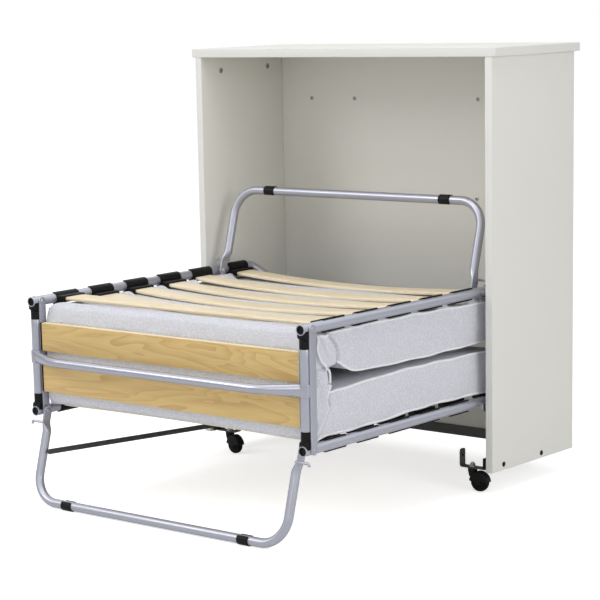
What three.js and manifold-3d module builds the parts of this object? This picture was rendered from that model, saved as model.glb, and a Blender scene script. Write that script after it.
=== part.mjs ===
// Folding guest bed that swings up into its own castor cabinet.
// Millimetres, +Z up, X across the bed, -Y towards the foot of the folded bed.
import * as THREE from 'three';
import { mergeVertices } from 'three/addons/utils/BufferGeometryUtils.js';
import Module from 'manifold-3d';

const wasm = await Module();
wasm.setup();

const GAP = 0.3;               // running clearance between neighbouring pieces
const WELD = 0.5;              // overlap of parts that are one piece
const CUT_PAST = 1;            // how far a cut runs past the piece

// Cabinet
const CABINET_WIDTH = 860;     // over both side panels
const SIDE_DEPTH = 338;
const SIDE_HEIGHT = 928;
const SIDE_BOTTOM = 50;        // height of the panels above the floor
const SIDE_THICKNESS = 18;
const INNER_X = CABINET_WIDTH / 2 - SIDE_THICKNESS;
const TOP_THICKNESS = 20;
const TOP_OVERHANG_SIDE = 10;
const TOP_OVERHANG_FRONT = 1;
const TOP_OVERHANG_REAR = 8;
const BACK_THICKNESS = 16;
const BACK_INNER_Y = 310;      // inner face of the back panel from the panels' front edge

// Steel base of the cabinet
const RUNNER_THICKNESS = 3;
const RUNNER_HEIGHT = 25;
const RUNNER_FRONT_Y = 10;
const STRAP_WIDTH = 20;        // castor strap
const STRAP_THICKNESS = 3;
const STRAP_RISE = 3;          // strap's underside above the panels' bottom
const STRAP_LENGTH = 77;
const STRAP_TAB_HEIGHT = 42;
const REAR_CASTOR_Y = 295;
const REAR_STRAP_LENGTH = 171; // reaches further inboard than the front strap
const PIVOT_PLATE_THICKNESS = 4;
const PIVOT_PLATE_FOOT_Y = 20;
const PIVOT_PLATE_FOOT = 40;
const PIVOT_PLATE_RADIUS = 8;

// Castors
const WHEEL_DIAMETER = 45;
const WHEEL_WIDTH = 16.4;
const WHEEL_EDGE = 4;          // rounding of the tread
const AXLE_DIAMETER = 6;
const CASTOR_TRAIL = 20;
const HOOD_WALL = 2.5;
const HOOD_CLEARANCE = 1.3;
const STEM_DIAMETER = 8;
const STEM_INSET = 48;         // stem's axis from the panel's inner face
const REAR_STEM_INSET = 142;
const STEM_BOSS_DIAMETER = 22;
const NUT_DIAMETER = 14;
const NUT_HEIGHT = 6;
const FRONT_LEFT_TRAIL = -10;  // degrees from +X at rest
const FRONT_RIGHT_TRAIL = 0;
const REAR_LEFT_TRAIL = 100;
const REAR_RIGHT_TRAIL = 60;

// Bed frames
const TUBE_RADIUS = 11;
const TUBE_WALL = 1.5;
const RAIL_INSET = 24;         // rail's axis from the panel's inner face
const RAIL_X = INNER_X - RAIL_INSET;
const LOWER_RAIL_Z = 208;
const UPPER_RAIL_Z = 458;
const HINGE_Y = -605;
const RAIL_OVERHANG = 23;      // rail's front end beyond the hinge axis
const BEND_RADIUS = 28;
const LOWER_BEND_Y = 123;
const LOWER_BAR_Y = 135;
const UPPER_BEND_Y = 139;
const UPPER_BAR_Y = 175;
const BAR_DROP = 42;           // rear bar towards the mattress
const BAR_INSET = 45;          // rear bar's corner from the rail's axis
const PLUG_DEPTH = 16;
const BOLT_RADIUS = 3.7;
const BOLT_HEAD_RADIUS = 7;
const BOLT_HEAD_HEIGHT = 3;
const SWING_Y = 13.5;          // axis that the bed swings up about
const SWING_Z = 198.5;
const LUG_THICKNESS = 4;
const LUG_RADIUS = 11;
const SWING_STUD_RADIUS = 4.5;

// Slats and their holders
const UPPER_SLATS_Y = [-520, -406, -288, -171, -56, 80];
const LOWER_SLATS_Y = [-520, -408, -296, -184, -72, 62];
const SLAT_WIDTH = 58;
const SLAT_THICKNESS = 8;
const SLAT_BOW = 16;
const SLAT_OFFSET = 9.5;        // slat's middle from the rail's axis, towards the mattress
const PRESSED_SLAT = 1;        // slat that the mattress's foot presses almost straight
const LOWER_PRESSED_OFFSET = 5;
const LOWER_PRESSED_BOW = 4;
const UPPER_PRESSED_OFFSET = 0;
const UPPER_PRESSED_BOW = 0.5;
const HOLDER_LENGTH = 72;
const HOLDER_WALL = 2.5;
const HOLDER_ARC = 206;        // degrees of the rail that a holder grips, from inboard
const SOCKET_MARGIN = 3;
const SOCKET_REACH = 14.5;     // socket's mouth from the rail's axis

// Middle section at the foot
const POST_Y = -614;
const STRAP_PAIR_WIDTH = 20;
const STRAP_PAIR_THICKNESS = 3;
const SEAT_CLEARANCE = 0.6;    // between a rail's shoe and the post's plug
const SHOE_MARGIN = 0.3;
const SHOE_BACK = 6;           // shoe's rear edge behind the hinge axis
const SHOE_FOOT = 2;           // shoe's foot above the rail's axis
const POST_PLUG_LENGTH = 40;   // plug's top from the rail's axis
const POST_SPIGOT = 14;
const POST_RIVET_RADIUS = 3;
const POST_RIVET_OFFSET = 67;  // rivet from the rail's axis
const PLANK_THICKNESS = 15;
const PLANK_Y = -610;
const PLANK_HEIGHT = 64;
const UPPER_PLANK_BOTTOM = 347;
const LOWER_PLANK_BOTTOM = 254;
const BOW_Z = 333;
const BOW_RADIUS = 10.5;
const BOW_Y = -658;
const BOW_BEND_INSET = 92;     // bend's corner from the post's axis
const BOW_BEND_RADIUS = 120;
const COLLAR_WALL = 2.3;
const COLLAR_HEIGHT = 26;
const COLLAR_SLOT = 2;

// Folding legs
const LEG_RADIUS = 10;
const LEG_INSET = 25;          // tube's axis from the rail's axis
const LEG_X = RAIL_X - LEG_INSET;
const LEG_LENGTH = 203.9;      // pivot to the axis of the cross bar
const LEG_LEAN = 16;           // degrees
const LEG_BEND_RADIUS = 62;
const LEG_PLATE_THICKNESS = 4;
const LEG_PLATE_INSET = 20;    // plate's inner face from the rail's axis
const LEG_PLATE_X = RAIL_X - LEG_PLATE_INSET;
const LEG_PLATE_WIDTH = 24;
const LEG_PLATE_SHOULDER = 30;
const LEG_PLATE_LENGTH = 58;
const LEG_TUBE_START = 38;
const UPPER_LEG_Y = 14;
const STOP_ROD_RADIUS = 3;
const STOP_ROD_FORWARD = 19;   // rod's axis from the pivot, square to the rail
const STOP_ROD_DOWN = 24;
const STOP_ROD_OVERHANG = 18;  // rod's end beyond the rail's axis
const CLIP_INSET = 105;        // from the leg's side tube
const CLIP_X = LEG_X - CLIP_INSET;
const CLIP_LENGTH = 30;
const CLIP_RADIUS = 12;
const CLIP_OPENING = 70;       // degrees

// Link between the cabinet and the front leg
const LINK_REAR_Y = 17.8;
const LINK_REAR_Z = 79;
const LINK_FRONT_Y = -628;
const LINK_FRONT_Z = 119;
const LINK_WIDTH = 12;
const LINK_THICKNESS = 3.5;
const LINK_INSET = 15;         // bar's outer face from the leg's tube axis
const LINK_X = LEG_X - LINK_INSET;
const LINK_PIN_RADIUS = 3;
const LINK_SHOULDER_RADIUS = 5;
const RIVET_HEAD_HEIGHT = 2;
const LINK_BOLT_HEAD_RADIUS = 5;

// Mattress in three sections
const MATTRESS_INSET = 5;      // from the rail's axis
const MATTRESS_HALF_WIDTH = RAIL_X - MATTRESS_INSET;
const MATTRESS_FRONT_Y = -494;
const LOWER_MATTRESS_REAR_Y = 120;
const LOWER_MATTRESS_BOTTOM = 238;
const LOWER_MATTRESS_TOP = 318;
const UPPER_MATTRESS_BOTTOM = 341;
const UPPER_MATTRESS_TOP = 428;
const UPPER_MATTRESS_REAR_Y = 150;
const MIDDLE_MATTRESS_INSET = 18;
const MIDDLE_MATTRESS_HALF_WIDTH = RAIL_X - MIDDLE_MATTRESS_INSET;
const MIDDLE_MATTRESS_THICKNESS = 102;
const MIDDLE_MATTRESS_BOTTOM = 246;
const MIDDLE_MATTRESS_TOP = 420;
const FOOT_ROLL_THICKNESS = 49; // fuller front of the middle section, before the first slats
const FOOT_ROLL_BOTTOM = 220;
const FOOT_ROLL_TOP = 448;
const MATTRESS_EDGE = 18;

const TUBE_HALF_SIDES = 6;     // half the facets around a tube

const LEFT = -1;
const RIGHT = 1;
const SIDE_TOP = SIDE_BOTTOM + SIDE_HEIGHT;
const SHOE_RADIUS = Math.hypot(RAIL_OVERHANG, TUBE_RADIUS) + SHOE_MARGIN;

const finish = (color, roughness, metalness) =>
  new THREE.MeshStandardMaterial({ color, roughness, metalness });
const LAMINATE = finish(0xdfe1e0, 0.45, 0);
const DARK_STEEL = finish(0x3a3c3e, 0.5, 0.6);
const SILVER = finish(0xa9adb5, 0.4, 0.6);
const BLACK_PLASTIC = finish(0x1c1c1e, 0.6, 0);
const BIRCH = finish(0xe6cfa0, 0.55, 0);
const MAPLE = finish(0xd9b877, 0.5, 0);
const ZINC = finish(0xb9bcc0, 0.35, 0.8);
const KNIT = finish(0xc9ccd2, 0.95, 0);

const radians = THREE.MathUtils.degToRad;

// A closed geometry as a solid that can be joined and cut.
function solid(geometry) {
  const plain = geometry.clone();
  plain.deleteAttribute('normal');
  plain.deleteAttribute('uv');
  const merged = mergeVertices(plain, 1e-4);
  return new wasm.Manifold(new wasm.Mesh({
    numProp: 3,
    vertProperties: new Float32Array(merged.attributes.position.array),
    triVerts: new Uint32Array(merged.index.array),
  }));
}

function piece(name, shape, material) {
  let geometry = shape;
  if (!shape.isBufferGeometry) {
    const { vertProperties, triVerts } = shape.getMesh();
    geometry = new THREE.BufferGeometry();
    geometry.setAttribute('position', new THREE.BufferAttribute(vertProperties, 3));
    geometry.setIndex(new THREE.BufferAttribute(triVerts, 1));
    geometry.computeVertexNormals();
  }
  const mesh = new THREE.Mesh(geometry, material);
  mesh.name = name;
  return mesh;
}

function slab(x0, x1, y0, y1, z0, z1) {
  const box = new THREE.BoxGeometry(Math.abs(x1 - x0), Math.abs(y1 - y0), Math.abs(z1 - z0));
  return box.translate((x0 + x1) / 2, (y0 + y1) / 2, (z0 + z1) / 2);
}

// Round bar along X at (y, z).
function barX(radius, x0, x1, y, z, segments = 12) {
  const bar = new THREE.CylinderGeometry(radius, radius, Math.abs(x1 - x0), segments);
  return bar.rotateZ(Math.PI / 2).translate((x0 + x1) / 2, y, z);
}

function barY(radius, y0, y1, x, z, segments = 16) {
  const bar = new THREE.CylinderGeometry(radius, radius, y1 - y0, segments);
  return bar.translate(x, (y0 + y1) / 2, z);
}

function barZ(radius, z0, z1, x, y, segments = 16) {
  const bar = new THREE.CylinderGeometry(radius, radius, z1 - z0, segments);
  return bar.rotateX(Math.PI / 2).translate(x, y, (z0 + z1) / 2);
}

// Outline in the Y-Z plane, given as a Shape of (y, z), extruded from x0 to x1.
function plateX(outline, x0, x1, curveSegments = 6) {
  const plate = new THREE.ExtrudeGeometry(outline, {
    depth: Math.abs(x1 - x0), bevelEnabled: false, curveSegments,
  });
  const turn = new THREE.Matrix4().set(0, 0, 1, 0, 1, 0, 0, 0, 0, 1, 0, 0, 0, 0, 0, 1);
  return plate.applyMatrix4(turn).translate(Math.min(x0, x1), 0, 0);
}

// Outline in the X-Z plane, given as a Shape of (x, z), extruded from y0 to y1.
function plateY(outline, y0, y1, curveSegments = 6) {
  const plate = new THREE.ExtrudeGeometry(outline, {
    depth: y1 - y0, bevelEnabled: false, curveSegments,
  });
  return plate.rotateX(Math.PI / 2).translate(0, y1, 0);
}

// Centre line through corner points, each corner rounded by an arc.
class BentLine extends THREE.Curve {
  constructor(corners, radius, arcSteps) {
    super();
    this.points = [corners[0]];
    this.tangents = [corners[1].clone().sub(corners[0]).normalize()];
    for (let i = 1; i < corners.length - 1; i++) {
      this.addArc(corners[i - 1], corners[i], corners[i + 1], radius, arcSteps);
    }
    const last = corners.length - 1;
    this.points.push(corners[last]);
    this.tangents.push(corners[last].clone().sub(corners[last - 1]).normalize());
  }

  addArc(before, corner, after, radius, steps) {
    const into = corner.clone().sub(before).normalize();
    const out = after.clone().sub(corner).normalize();
    const turn = into.angleTo(out);
    const reach = radius * Math.tan(turn / 2);
    const start = corner.clone().addScaledVector(into, -reach);
    const axis = into.clone().cross(out).normalize();
    const towards = axis.clone().cross(into);
    const centre = start.clone().addScaledVector(towards, radius);
    for (let i = 0; i <= steps; i++) {
      const angle = turn * i / steps;
      const spoke = towards.clone().multiplyScalar(-radius).applyAxisAngle(axis, angle);
      this.points.push(centre.clone().add(spoke));
      this.tangents.push(into.clone().applyAxisAngle(axis, angle));
    }
  }

  get steps() {
    return this.points.length - 1;
  }

  getPoint(t) {
    const place = t * this.steps;
    const i = Math.min(Math.floor(place), this.steps - 1);
    return this.points[i].clone().lerp(this.points[i + 1], place - i);
  }

  getPointAt(u) {
    return this.getPoint(u);
  }

  getTangentAt(u) {
    return this.tangents[Math.round(u * this.steps)].clone();
  }
}

function sweep(line, radius, halfSegments = TUBE_HALF_SIDES) {
  const ring = new THREE.Shape().absarc(0, 0, radius, 0, 2 * Math.PI);
  return new THREE.ExtrudeGeometry(ring, {
    steps: line.steps, extrudePath: line, bevelEnabled: false, curveSegments: halfSegments,
  });
}

// Round tube along a bent line, open at both ends.
function tube(line, radius, wall, halfSegments = TUBE_HALF_SIDES) {
  const inner = radius - wall;
  const ring = new THREE.Shape().absarc(0, 0, radius, 0, 2 * Math.PI);
  ring.holes.push(new THREE.Path().absarc(0, 0, inner, 0, 2 * Math.PI, true));
  return new THREE.ExtrudeGeometry(ring, {
    steps: line.steps, extrudePath: line, bevelEnabled: false, curveSegments: halfSegments,
  });
}

function cabinetSide(name, side) {
  const outer = side * CABINET_WIDTH / 2;
  return piece(name, slab(side * INNER_X, outer, 0, SIDE_DEPTH, SIDE_BOTTOM, SIDE_TOP), LAMINATE);
}

function cabinetTop() {
  const reach = CABINET_WIDTH / 2 + TOP_OVERHANG_SIDE;
  const underside = SIDE_TOP + GAP;
  return piece('cabinet_top', slab(-reach, reach, -TOP_OVERHANG_FRONT,
    SIDE_DEPTH + TOP_OVERHANG_REAR, underside, underside + TOP_THICKNESS), LAMINATE);
}

function cabinetBack() {
  const reach = INNER_X - GAP;
  return piece('cabinet_back', slab(-reach, reach, BACK_INNER_Y, BACK_INNER_Y + BACK_THICKNESS,
    SIDE_BOTTOM, SIDE_TOP), LAMINATE);
}

const CROSS_RAIL_REAR_Y = BACK_INNER_Y - GAP;
const CROSS_RAIL_FRONT_Y = CROSS_RAIL_REAR_Y - RUNNER_THICKNESS;

function baseCrossRail() {
  const reach = INNER_X - GAP;
  return piece('base_cross_rail', slab(-reach, reach, CROSS_RAIL_FRONT_Y, CROSS_RAIL_REAR_Y,
    SIDE_BOTTOM, SIDE_BOTTOM + RUNNER_HEIGHT), DARK_STEEL);
}

const STRAP_BOTTOM = SIDE_BOTTOM + STRAP_RISE;
const STRAP_TOP = STRAP_BOTTOM + STRAP_THICKNESS;
const STEM_X = INNER_X - STEM_INSET;
const REAR_STEM_X = INNER_X - REAR_STEM_INSET;
const BASE_FACE_X = INNER_X - GAP;          // base steel's face on the panel
const TAB_INNER_X = BASE_FACE_X - STRAP_LENGTH;

// U-shaped strap that carries a castor, one tab against the panel and one inboard.
function castorStrap(side, y, length, stemX) {
  const tabInner = BASE_FACE_X - length;
  const tabOuter = tabInner + STRAP_THICKNESS;
  const y0 = y - STRAP_WIDTH / 2;
  const y1 = y + STRAP_WIDTH / 2;
  const tabTop = STRAP_BOTTOM + STRAP_TAB_HEIGHT;
  return solid(slab(side * tabInner, side * BASE_FACE_X, y0, y1, STRAP_BOTTOM, STRAP_TOP))
    .add(solid(slab(side * tabInner, side * tabOuter, y0, y1, STRAP_BOTTOM, tabTop)))
    .subtract(solid(barZ(STEM_DIAMETER / 2 + GAP, SIDE_BOTTOM, tabTop, side * stemX, y)))
    .subtract(solid(barX(LINK_PIN_RADIUS + GAP, side * (tabInner - WELD),
      side * (tabOuter + WELD), y, LINK_REAR_Z)));
}

function pivotPlateOutline() {
  const outline = new THREE.Shape();
  outline.moveTo(PIVOT_PLATE_FOOT_Y, SIDE_BOTTOM);
  outline.lineTo(PIVOT_PLATE_FOOT_Y + PIVOT_PLATE_FOOT, SIDE_BOTTOM);
  outline.absarc(SWING_Y, SWING_Z, PIVOT_PLATE_RADIUS, 0, Math.PI, false);
  return outline;
}

const STUD_TIP_X = RAIL_X + TUBE_RADIUS + GAP;

// Runner, pivot plate with its stud and both castor straps of one side.
function baseFrame(name, side) {
  const face = side * BASE_FACE_X;
  const plateInner = side * (BASE_FACE_X - PIVOT_PLATE_THICKNESS);
  let frame = solid(slab(side * (BASE_FACE_X - RUNNER_THICKNESS), face, RUNNER_FRONT_Y,
    CROSS_RAIL_FRONT_Y - GAP, SIDE_BOTTOM, SIDE_BOTTOM + RUNNER_HEIGHT))
    .add(solid(plateX(pivotPlateOutline(), plateInner, face)))
    .add(solid(barX(SWING_STUD_RADIUS, plateInner, side * STUD_TIP_X, SWING_Y, SWING_Z)))
    .add(castorStrap(side, LINK_REAR_Y, STRAP_LENGTH, STEM_X))
    .add(castorStrap(side, REAR_CASTOR_Y, REAR_STRAP_LENGTH, REAR_STEM_X));
  if (side === LEFT) {
    frame = frame.add(linkPin(side));
  }
  return piece(name, frame, DARK_STEEL);
}

// Shouldered pin riveted into the inboard tab, which the link turns on.
function linkPin(side) {
  const head = side * (TAB_INNER_X - RIVET_HEAD_HEIGHT);
  const shoulder = side * (LINK_X - LINK_THICKNESS - GAP);
  return solid(barX(LINK_SHOULDER_RADIUS, head, shoulder, LINK_REAR_Y, LINK_REAR_Z, 12))
    .add(solid(barX(LINK_PIN_RADIUS, shoulder - side * WELD, side * (LINK_X + GAP),
      LINK_REAR_Y, LINK_REAR_Z, 12)));
}

const WHEEL_RADIUS = WHEEL_DIAMETER / 2;
const HOOD_RADIUS = WHEEL_RADIUS + HOOD_WALL;
const HOOD_TOP = WHEEL_RADIUS + HOOD_RADIUS;
const HOOD_WIDTH = WHEEL_WIDTH + 2 * (GAP + HOOD_WALL);

// Castor body about its stem: hood over the wheel, boss, stem and nut. It trails to +X.
function castorFork() {
  const half = HOOD_WIDTH / 2;
  const pocket = WHEEL_WIDTH / 2 + GAP;
  const hood = solid(barY(HOOD_RADIUS, -half, half, CASTOR_TRAIL, WHEEL_RADIUS, 20))
    .subtract(solid(barY(WHEEL_RADIUS + HOOD_CLEARANCE, -pocket, pocket,
      CASTOR_TRAIL, WHEEL_RADIUS, 20)))
    .subtract(solid(slab(CASTOR_TRAIL - HOOD_RADIUS, CASTOR_TRAIL + HOOD_RADIUS,
      -HOOD_RADIUS, HOOD_RADIUS, -HOOD_WALL, WHEEL_RADIUS - AXLE_DIAMETER)));
  const nutBottom = STRAP_TOP + GAP;
  return hood
    .add(solid(barZ(STEM_BOSS_DIAMETER / 2, HOOD_TOP - HOOD_WALL, STRAP_BOTTOM - GAP, 0, 0)))
    .add(solid(barZ(STEM_DIAMETER / 2, HOOD_TOP, nutBottom + NUT_HEIGHT, 0, 0, 12)))
    .add(solid(barZ(NUT_DIAMETER / 2, nutBottom, nutBottom + NUT_HEIGHT, 0, 0, 6)))
    .add(solid(barY(AXLE_DIAMETER / 2, -half, half, CASTOR_TRAIL, WHEEL_RADIUS, 12)));
}

function castorWheel() {
  const bore = AXLE_DIAMETER / 2 + GAP;
  const half = WHEEL_WIDTH / 2;
  const shoulder = WHEEL_RADIUS - WHEEL_EDGE;
  const profile = [
    [bore, -half], [shoulder, -half], [WHEEL_RADIUS, -half + WHEEL_EDGE],
    [WHEEL_RADIUS, half - WHEEL_EDGE], [shoulder, half], [bore, half], [bore, -half],
  ].map(([r, h]) => new THREE.Vector2(r, h));
  return new THREE.LatheGeometry(profile, 18).translate(CASTOR_TRAIL, 0, WHEEL_RADIUS);
}

function castor(corner, stemX, y, trailDegrees) {
  const group = new THREE.Group();
  group.position.set(stemX, y, 0);
  group.rotation.z = radians(trailDegrees);
  group.add(piece(`castor_fork_${corner}`, castorFork(), BLACK_PLASTIC));
  group.add(piece(`castor_wheel_${corner}`, solid(castorWheel()), BLACK_PLASTIC));
  return group;
}

// The lower and upper halves mirror each other; towards is +1 where the mattress is above.
const LOWER_HALF = {
  axisZ: LOWER_RAIL_Z, towards: 1, bendY: LOWER_BEND_Y, barY: LOWER_BAR_Y,
  pressedOffset: LOWER_PRESSED_OFFSET, pressedBow: LOWER_PRESSED_BOW,
};
const UPPER_HALF = {
  axisZ: UPPER_RAIL_Z, towards: -1, bendY: UPPER_BEND_Y, barY: UPPER_BAR_Y,
  pressedOffset: UPPER_PRESSED_OFFSET, pressedBow: UPPER_PRESSED_BOW,
};

function frameLine({ axisZ, towards, bendY, barY: rearY }) {
  const frontY = HINGE_Y - RAIL_OVERHANG;
  const barZ0 = axisZ + towards * BAR_DROP;
  const barX0 = RAIL_X - BAR_INSET;
  return new BentLine([
    new THREE.Vector3(-RAIL_X, frontY, axisZ),
    new THREE.Vector3(-RAIL_X, bendY, axisZ),
    new THREE.Vector3(-barX0, rearY, barZ0),
    new THREE.Vector3(barX0, rearY, barZ0),
    new THREE.Vector3(RAIL_X, bendY, axisZ),
    new THREE.Vector3(RAIL_X, frontY, axisZ),
  ], BEND_RADIUS, 4);
}

// Saddle on the rail that the post's rounded seat turns around.
function hingeShoe(side, { axisZ, towards }) {
  const x = side * RAIL_X;
  const front = POST_Y - TUBE_RADIUS;
  const back = HINGE_Y + SHOE_BACK;
  const outer = axisZ + towards * SHOE_RADIUS;
  const half = TUBE_RADIUS - GAP;
  return solid(barX(SHOE_RADIUS, x - half, x + half, HINGE_Y, axisZ, 28))
    .intersect(solid(slab(x - half, x + half, front, back, axisZ + towards * SHOE_FOOT, outer)))
    .subtract(solid(barY(TUBE_RADIUS - WELD, front - CUT_PAST, back + CUT_PAST, x, axisZ)));
}

function boltHole(side, y, z) {
  const reach = TUBE_RADIUS + WELD;
  return solid(barX(BOLT_RADIUS + GAP, side * RAIL_X - reach, side * RAIL_X + reach, y, z));
}

function swingLug(side) {
  const outline = new THREE.Shape();
  outline.absarc(SWING_Y, SWING_Z, LUG_RADIUS, Math.PI, 2 * Math.PI, false);
  outline.lineTo(SWING_Y + LUG_RADIUS, LOWER_RAIL_Z);
  outline.lineTo(SWING_Y - LUG_RADIUS, LOWER_RAIL_Z);
  outline.holes.push(new THREE.Path()
    .absarc(SWING_Y, SWING_Z, SWING_STUD_RADIUS + GAP, 0, 2 * Math.PI, true));
  const railFace = RAIL_X + TUBE_RADIUS;
  return solid(plateX(outline, side * (railFace - 2 * WELD), side * (railFace + LUG_THICKNESS), 8));
}

function halfFrame(name, half) {
  let frame = solid(tube(frameLine(half), TUBE_RADIUS, TUBE_WALL));
  for (const side of [LEFT, RIGHT]) {
    frame = frame.add(hingeShoe(side, half)).subtract(boltHole(side, HINGE_Y, half.axisZ));
    if (half === LOWER_HALF) {
      frame = frame.add(swingLug(side));
    } else {
      frame = frame.subtract(boltHole(side, UPPER_LEG_Y, half.axisZ));
    }
  }
  return piece(name, frame, SILVER);
}

// Plug that closes the front end of a rail, flush with its rim.
function railPlug(name, side, { axisZ }) {
  const front = HINGE_Y - RAIL_OVERHANG;
  const facetLoss = Math.cos(Math.PI / (2 * TUBE_HALF_SIDES));
  const radius = (TUBE_RADIUS - TUBE_WALL) * facetLoss - GAP;
  return piece(name, barY(radius, front, front + PLUG_DEPTH, side * RAIL_X, axisZ), BLACK_PLASTIC);
}

// Section of a bowed slat in the X-Z plane, bowed by its middle towards the mattress.
function slatOutline(endX, middleZ, rise) {
  const outline = new THREE.Shape();
  const steps = 10;
  const bow = (x) => middleZ + rise * (1 - (x / endX) ** 2);
  const half = SLAT_THICKNESS / 2;
  outline.moveTo(-endX, bow(-endX) - half);
  for (let i = 1; i <= steps; i++) {
    const x = endX * (2 * i / steps - 1);
    outline.lineTo(x, bow(x) - half);
  }
  for (let i = steps; i >= 0; i--) {
    const x = endX * (2 * i / steps - 1);
    outline.lineTo(x, bow(x) + half);
  }
  return outline;
}

// Plastic holder: a clip on the rail, open to the outside, with a socket for the slat's end.
function slatHolder(side, y, axisZ, middleZ) {
  const inner = TUBE_RADIUS + GAP;
  const outer = inner + HOLDER_WALL;
  const open = radians(360 - HOLDER_ARC) / 2;
  const facing = side > 0 ? 0 : Math.PI;
  const clip = new THREE.Shape();
  clip.absarc(0, 0, outer, facing + open, facing - open + 2 * Math.PI, false);
  clip.absarc(0, 0, inner, facing - open + 2 * Math.PI, facing + open, true);
  const x = side * RAIL_X;
  const y0 = y - HOLDER_LENGTH / 2;
  const y1 = y + HOLDER_LENGTH / 2;
  const rise = SLAT_THICKNESS / 2 + SOCKET_MARGIN;
  const socket = solid(slab(x, x - side * SOCKET_REACH, y0, y1, middleZ - rise, middleZ + rise))
    .subtract(solid(barY(inner, y0 - CUT_PAST, y1 + CUT_PAST, x, axisZ, 20)));
  return solid(plateY(clip, y0, y1, 5).translate(x, 0, axisZ)).add(socket);
}

function slatWithHolders(name, y, half, pressed) {
  const { axisZ, towards } = half;
  const middleZ = axisZ + towards * (pressed ? half.pressedOffset : SLAT_OFFSET);
  const rise = towards * (pressed ? half.pressedBow : SLAT_BOW);
  const endX = RAIL_X - TUBE_RADIUS - GAP - SOCKET_MARGIN / 2;
  const y0 = y - SLAT_WIDTH / 2;
  const slat = solid(plateY(slatOutline(endX, middleZ, rise), y0, y0 + SLAT_WIDTH));
  return piece(name, slat.add(slatHolder(LEFT, y, axisZ, middleZ))
    .add(slatHolder(RIGHT, y, axisZ, middleZ)), BIRCH);
}

const POST_PLUG_TOP = LOWER_RAIL_Z + POST_PLUG_LENGTH;
const POST_PLUG_BASE = UPPER_RAIL_Z - POST_PLUG_LENGTH;
const SEAT_RADIUS = SHOE_RADIUS + SEAT_CLEARANCE;
const STRAP_INNER = TUBE_RADIUS + GAP;
const STRAP_OUTER = STRAP_INNER + STRAP_PAIR_THICKNESS;

function strapOutline() {
  const half = STRAP_PAIR_WIDTH / 2;
  const outline = new THREE.Shape();
  outline.absarc(HINGE_Y, UPPER_RAIL_Z, half, 0, Math.PI, false);
  outline.absarc(HINGE_Y, LOWER_RAIL_Z, half, Math.PI, 2 * Math.PI, false);
  for (const z of [LOWER_RAIL_Z, UPPER_RAIL_Z]) {
    outline.holes.push(new THREE.Path()
      .absarc(HINGE_Y, z, BOLT_RADIUS + GAP, 0, 2 * Math.PI, true));
  }
  return outline;
}

// Upright tube of the middle section with its two hinge straps and their rivets.
function middlePost(name, side) {
  const x = side * RAIL_X;
  const line = new BentLine([
    new THREE.Vector3(x, POST_Y, POST_PLUG_TOP + GAP),
    new THREE.Vector3(x, POST_Y, POST_PLUG_BASE - GAP),
  ], 0, 0);
  let post = solid(tube(line, TUBE_RADIUS, TUBE_WALL, 8));
  for (const way of [-1, 1]) {
    post = post.add(solid(plateX(strapOutline(), x + way * STRAP_INNER, x + way * STRAP_OUTER)));
  }
  for (const z of [LOWER_RAIL_Z + POST_RIVET_OFFSET, UPPER_RAIL_Z - POST_RIVET_OFFSET]) {
    post = post.add(solid(barX(POST_RIVET_RADIUS, x - STRAP_OUTER, x + STRAP_OUTER, HINGE_Y, z)));
  }
  return piece(name, post, SILVER);
}

// Plug in the end of a post: a visible collar with a hollow seat, and a spigot in the tube.
function postPlug(name, side, { axisZ, towards }) {
  const x = side * RAIL_X;
  const collarEnd = axisZ + towards * POST_PLUG_LENGTH;
  const spigotEnd = collarEnd + towards * POST_SPIGOT;
  const spigot = TUBE_RADIUS - TUBE_WALL - GAP;
  const [low, high] = [axisZ, collarEnd].sort((a, b) => a - b);
  const [spigotLow, spigotHigh] = [axisZ, spigotEnd].sort((a, b) => a - b);
  const plug = solid(barZ(TUBE_RADIUS, low, high, x, POST_Y, 20))
    .add(solid(barZ(spigot, spigotLow, spigotHigh, x, POST_Y, 20)))
    .subtract(solid(barX(SEAT_RADIUS, x - TUBE_RADIUS - CUT_PAST, x + TUBE_RADIUS + CUT_PAST,
      HINGE_Y, axisZ, 28)));
  return piece(name, plug, BLACK_PLASTIC);
}

function plank(name, bottom) {
  const reach = RAIL_X - STRAP_OUTER - GAP;
  return piece(name, slab(-reach, reach, PLANK_Y - PLANK_THICKNESS / 2,
    PLANK_Y + PLANK_THICKNESS / 2, bottom, bottom + PLANK_HEIGHT), MAPLE);
}

const POST_CLEARANCE = TUBE_RADIUS + GAP;

// Half ring around the front of a post at the end of the bow, with a seam groove.
function bowCollar(side) {
  const x = side * RAIL_X;
  const outer = POST_CLEARANCE + COLLAR_WALL;
  const z0 = BOW_Z - COLLAR_HEIGHT / 2;
  const z1 = BOW_Z + COLLAR_HEIGHT / 2;
  const groove = slab(x - COLLAR_SLOT / 2, x + COLLAR_SLOT / 2, POST_Y - outer - CUT_PAST,
    POST_Y - outer + COLLAR_WALL / 2, z0 - CUT_PAST, z1 + CUT_PAST);
  return solid(barZ(outer, z0, z1, x, POST_Y, 24)).subtract(solid(groove));
}

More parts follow.
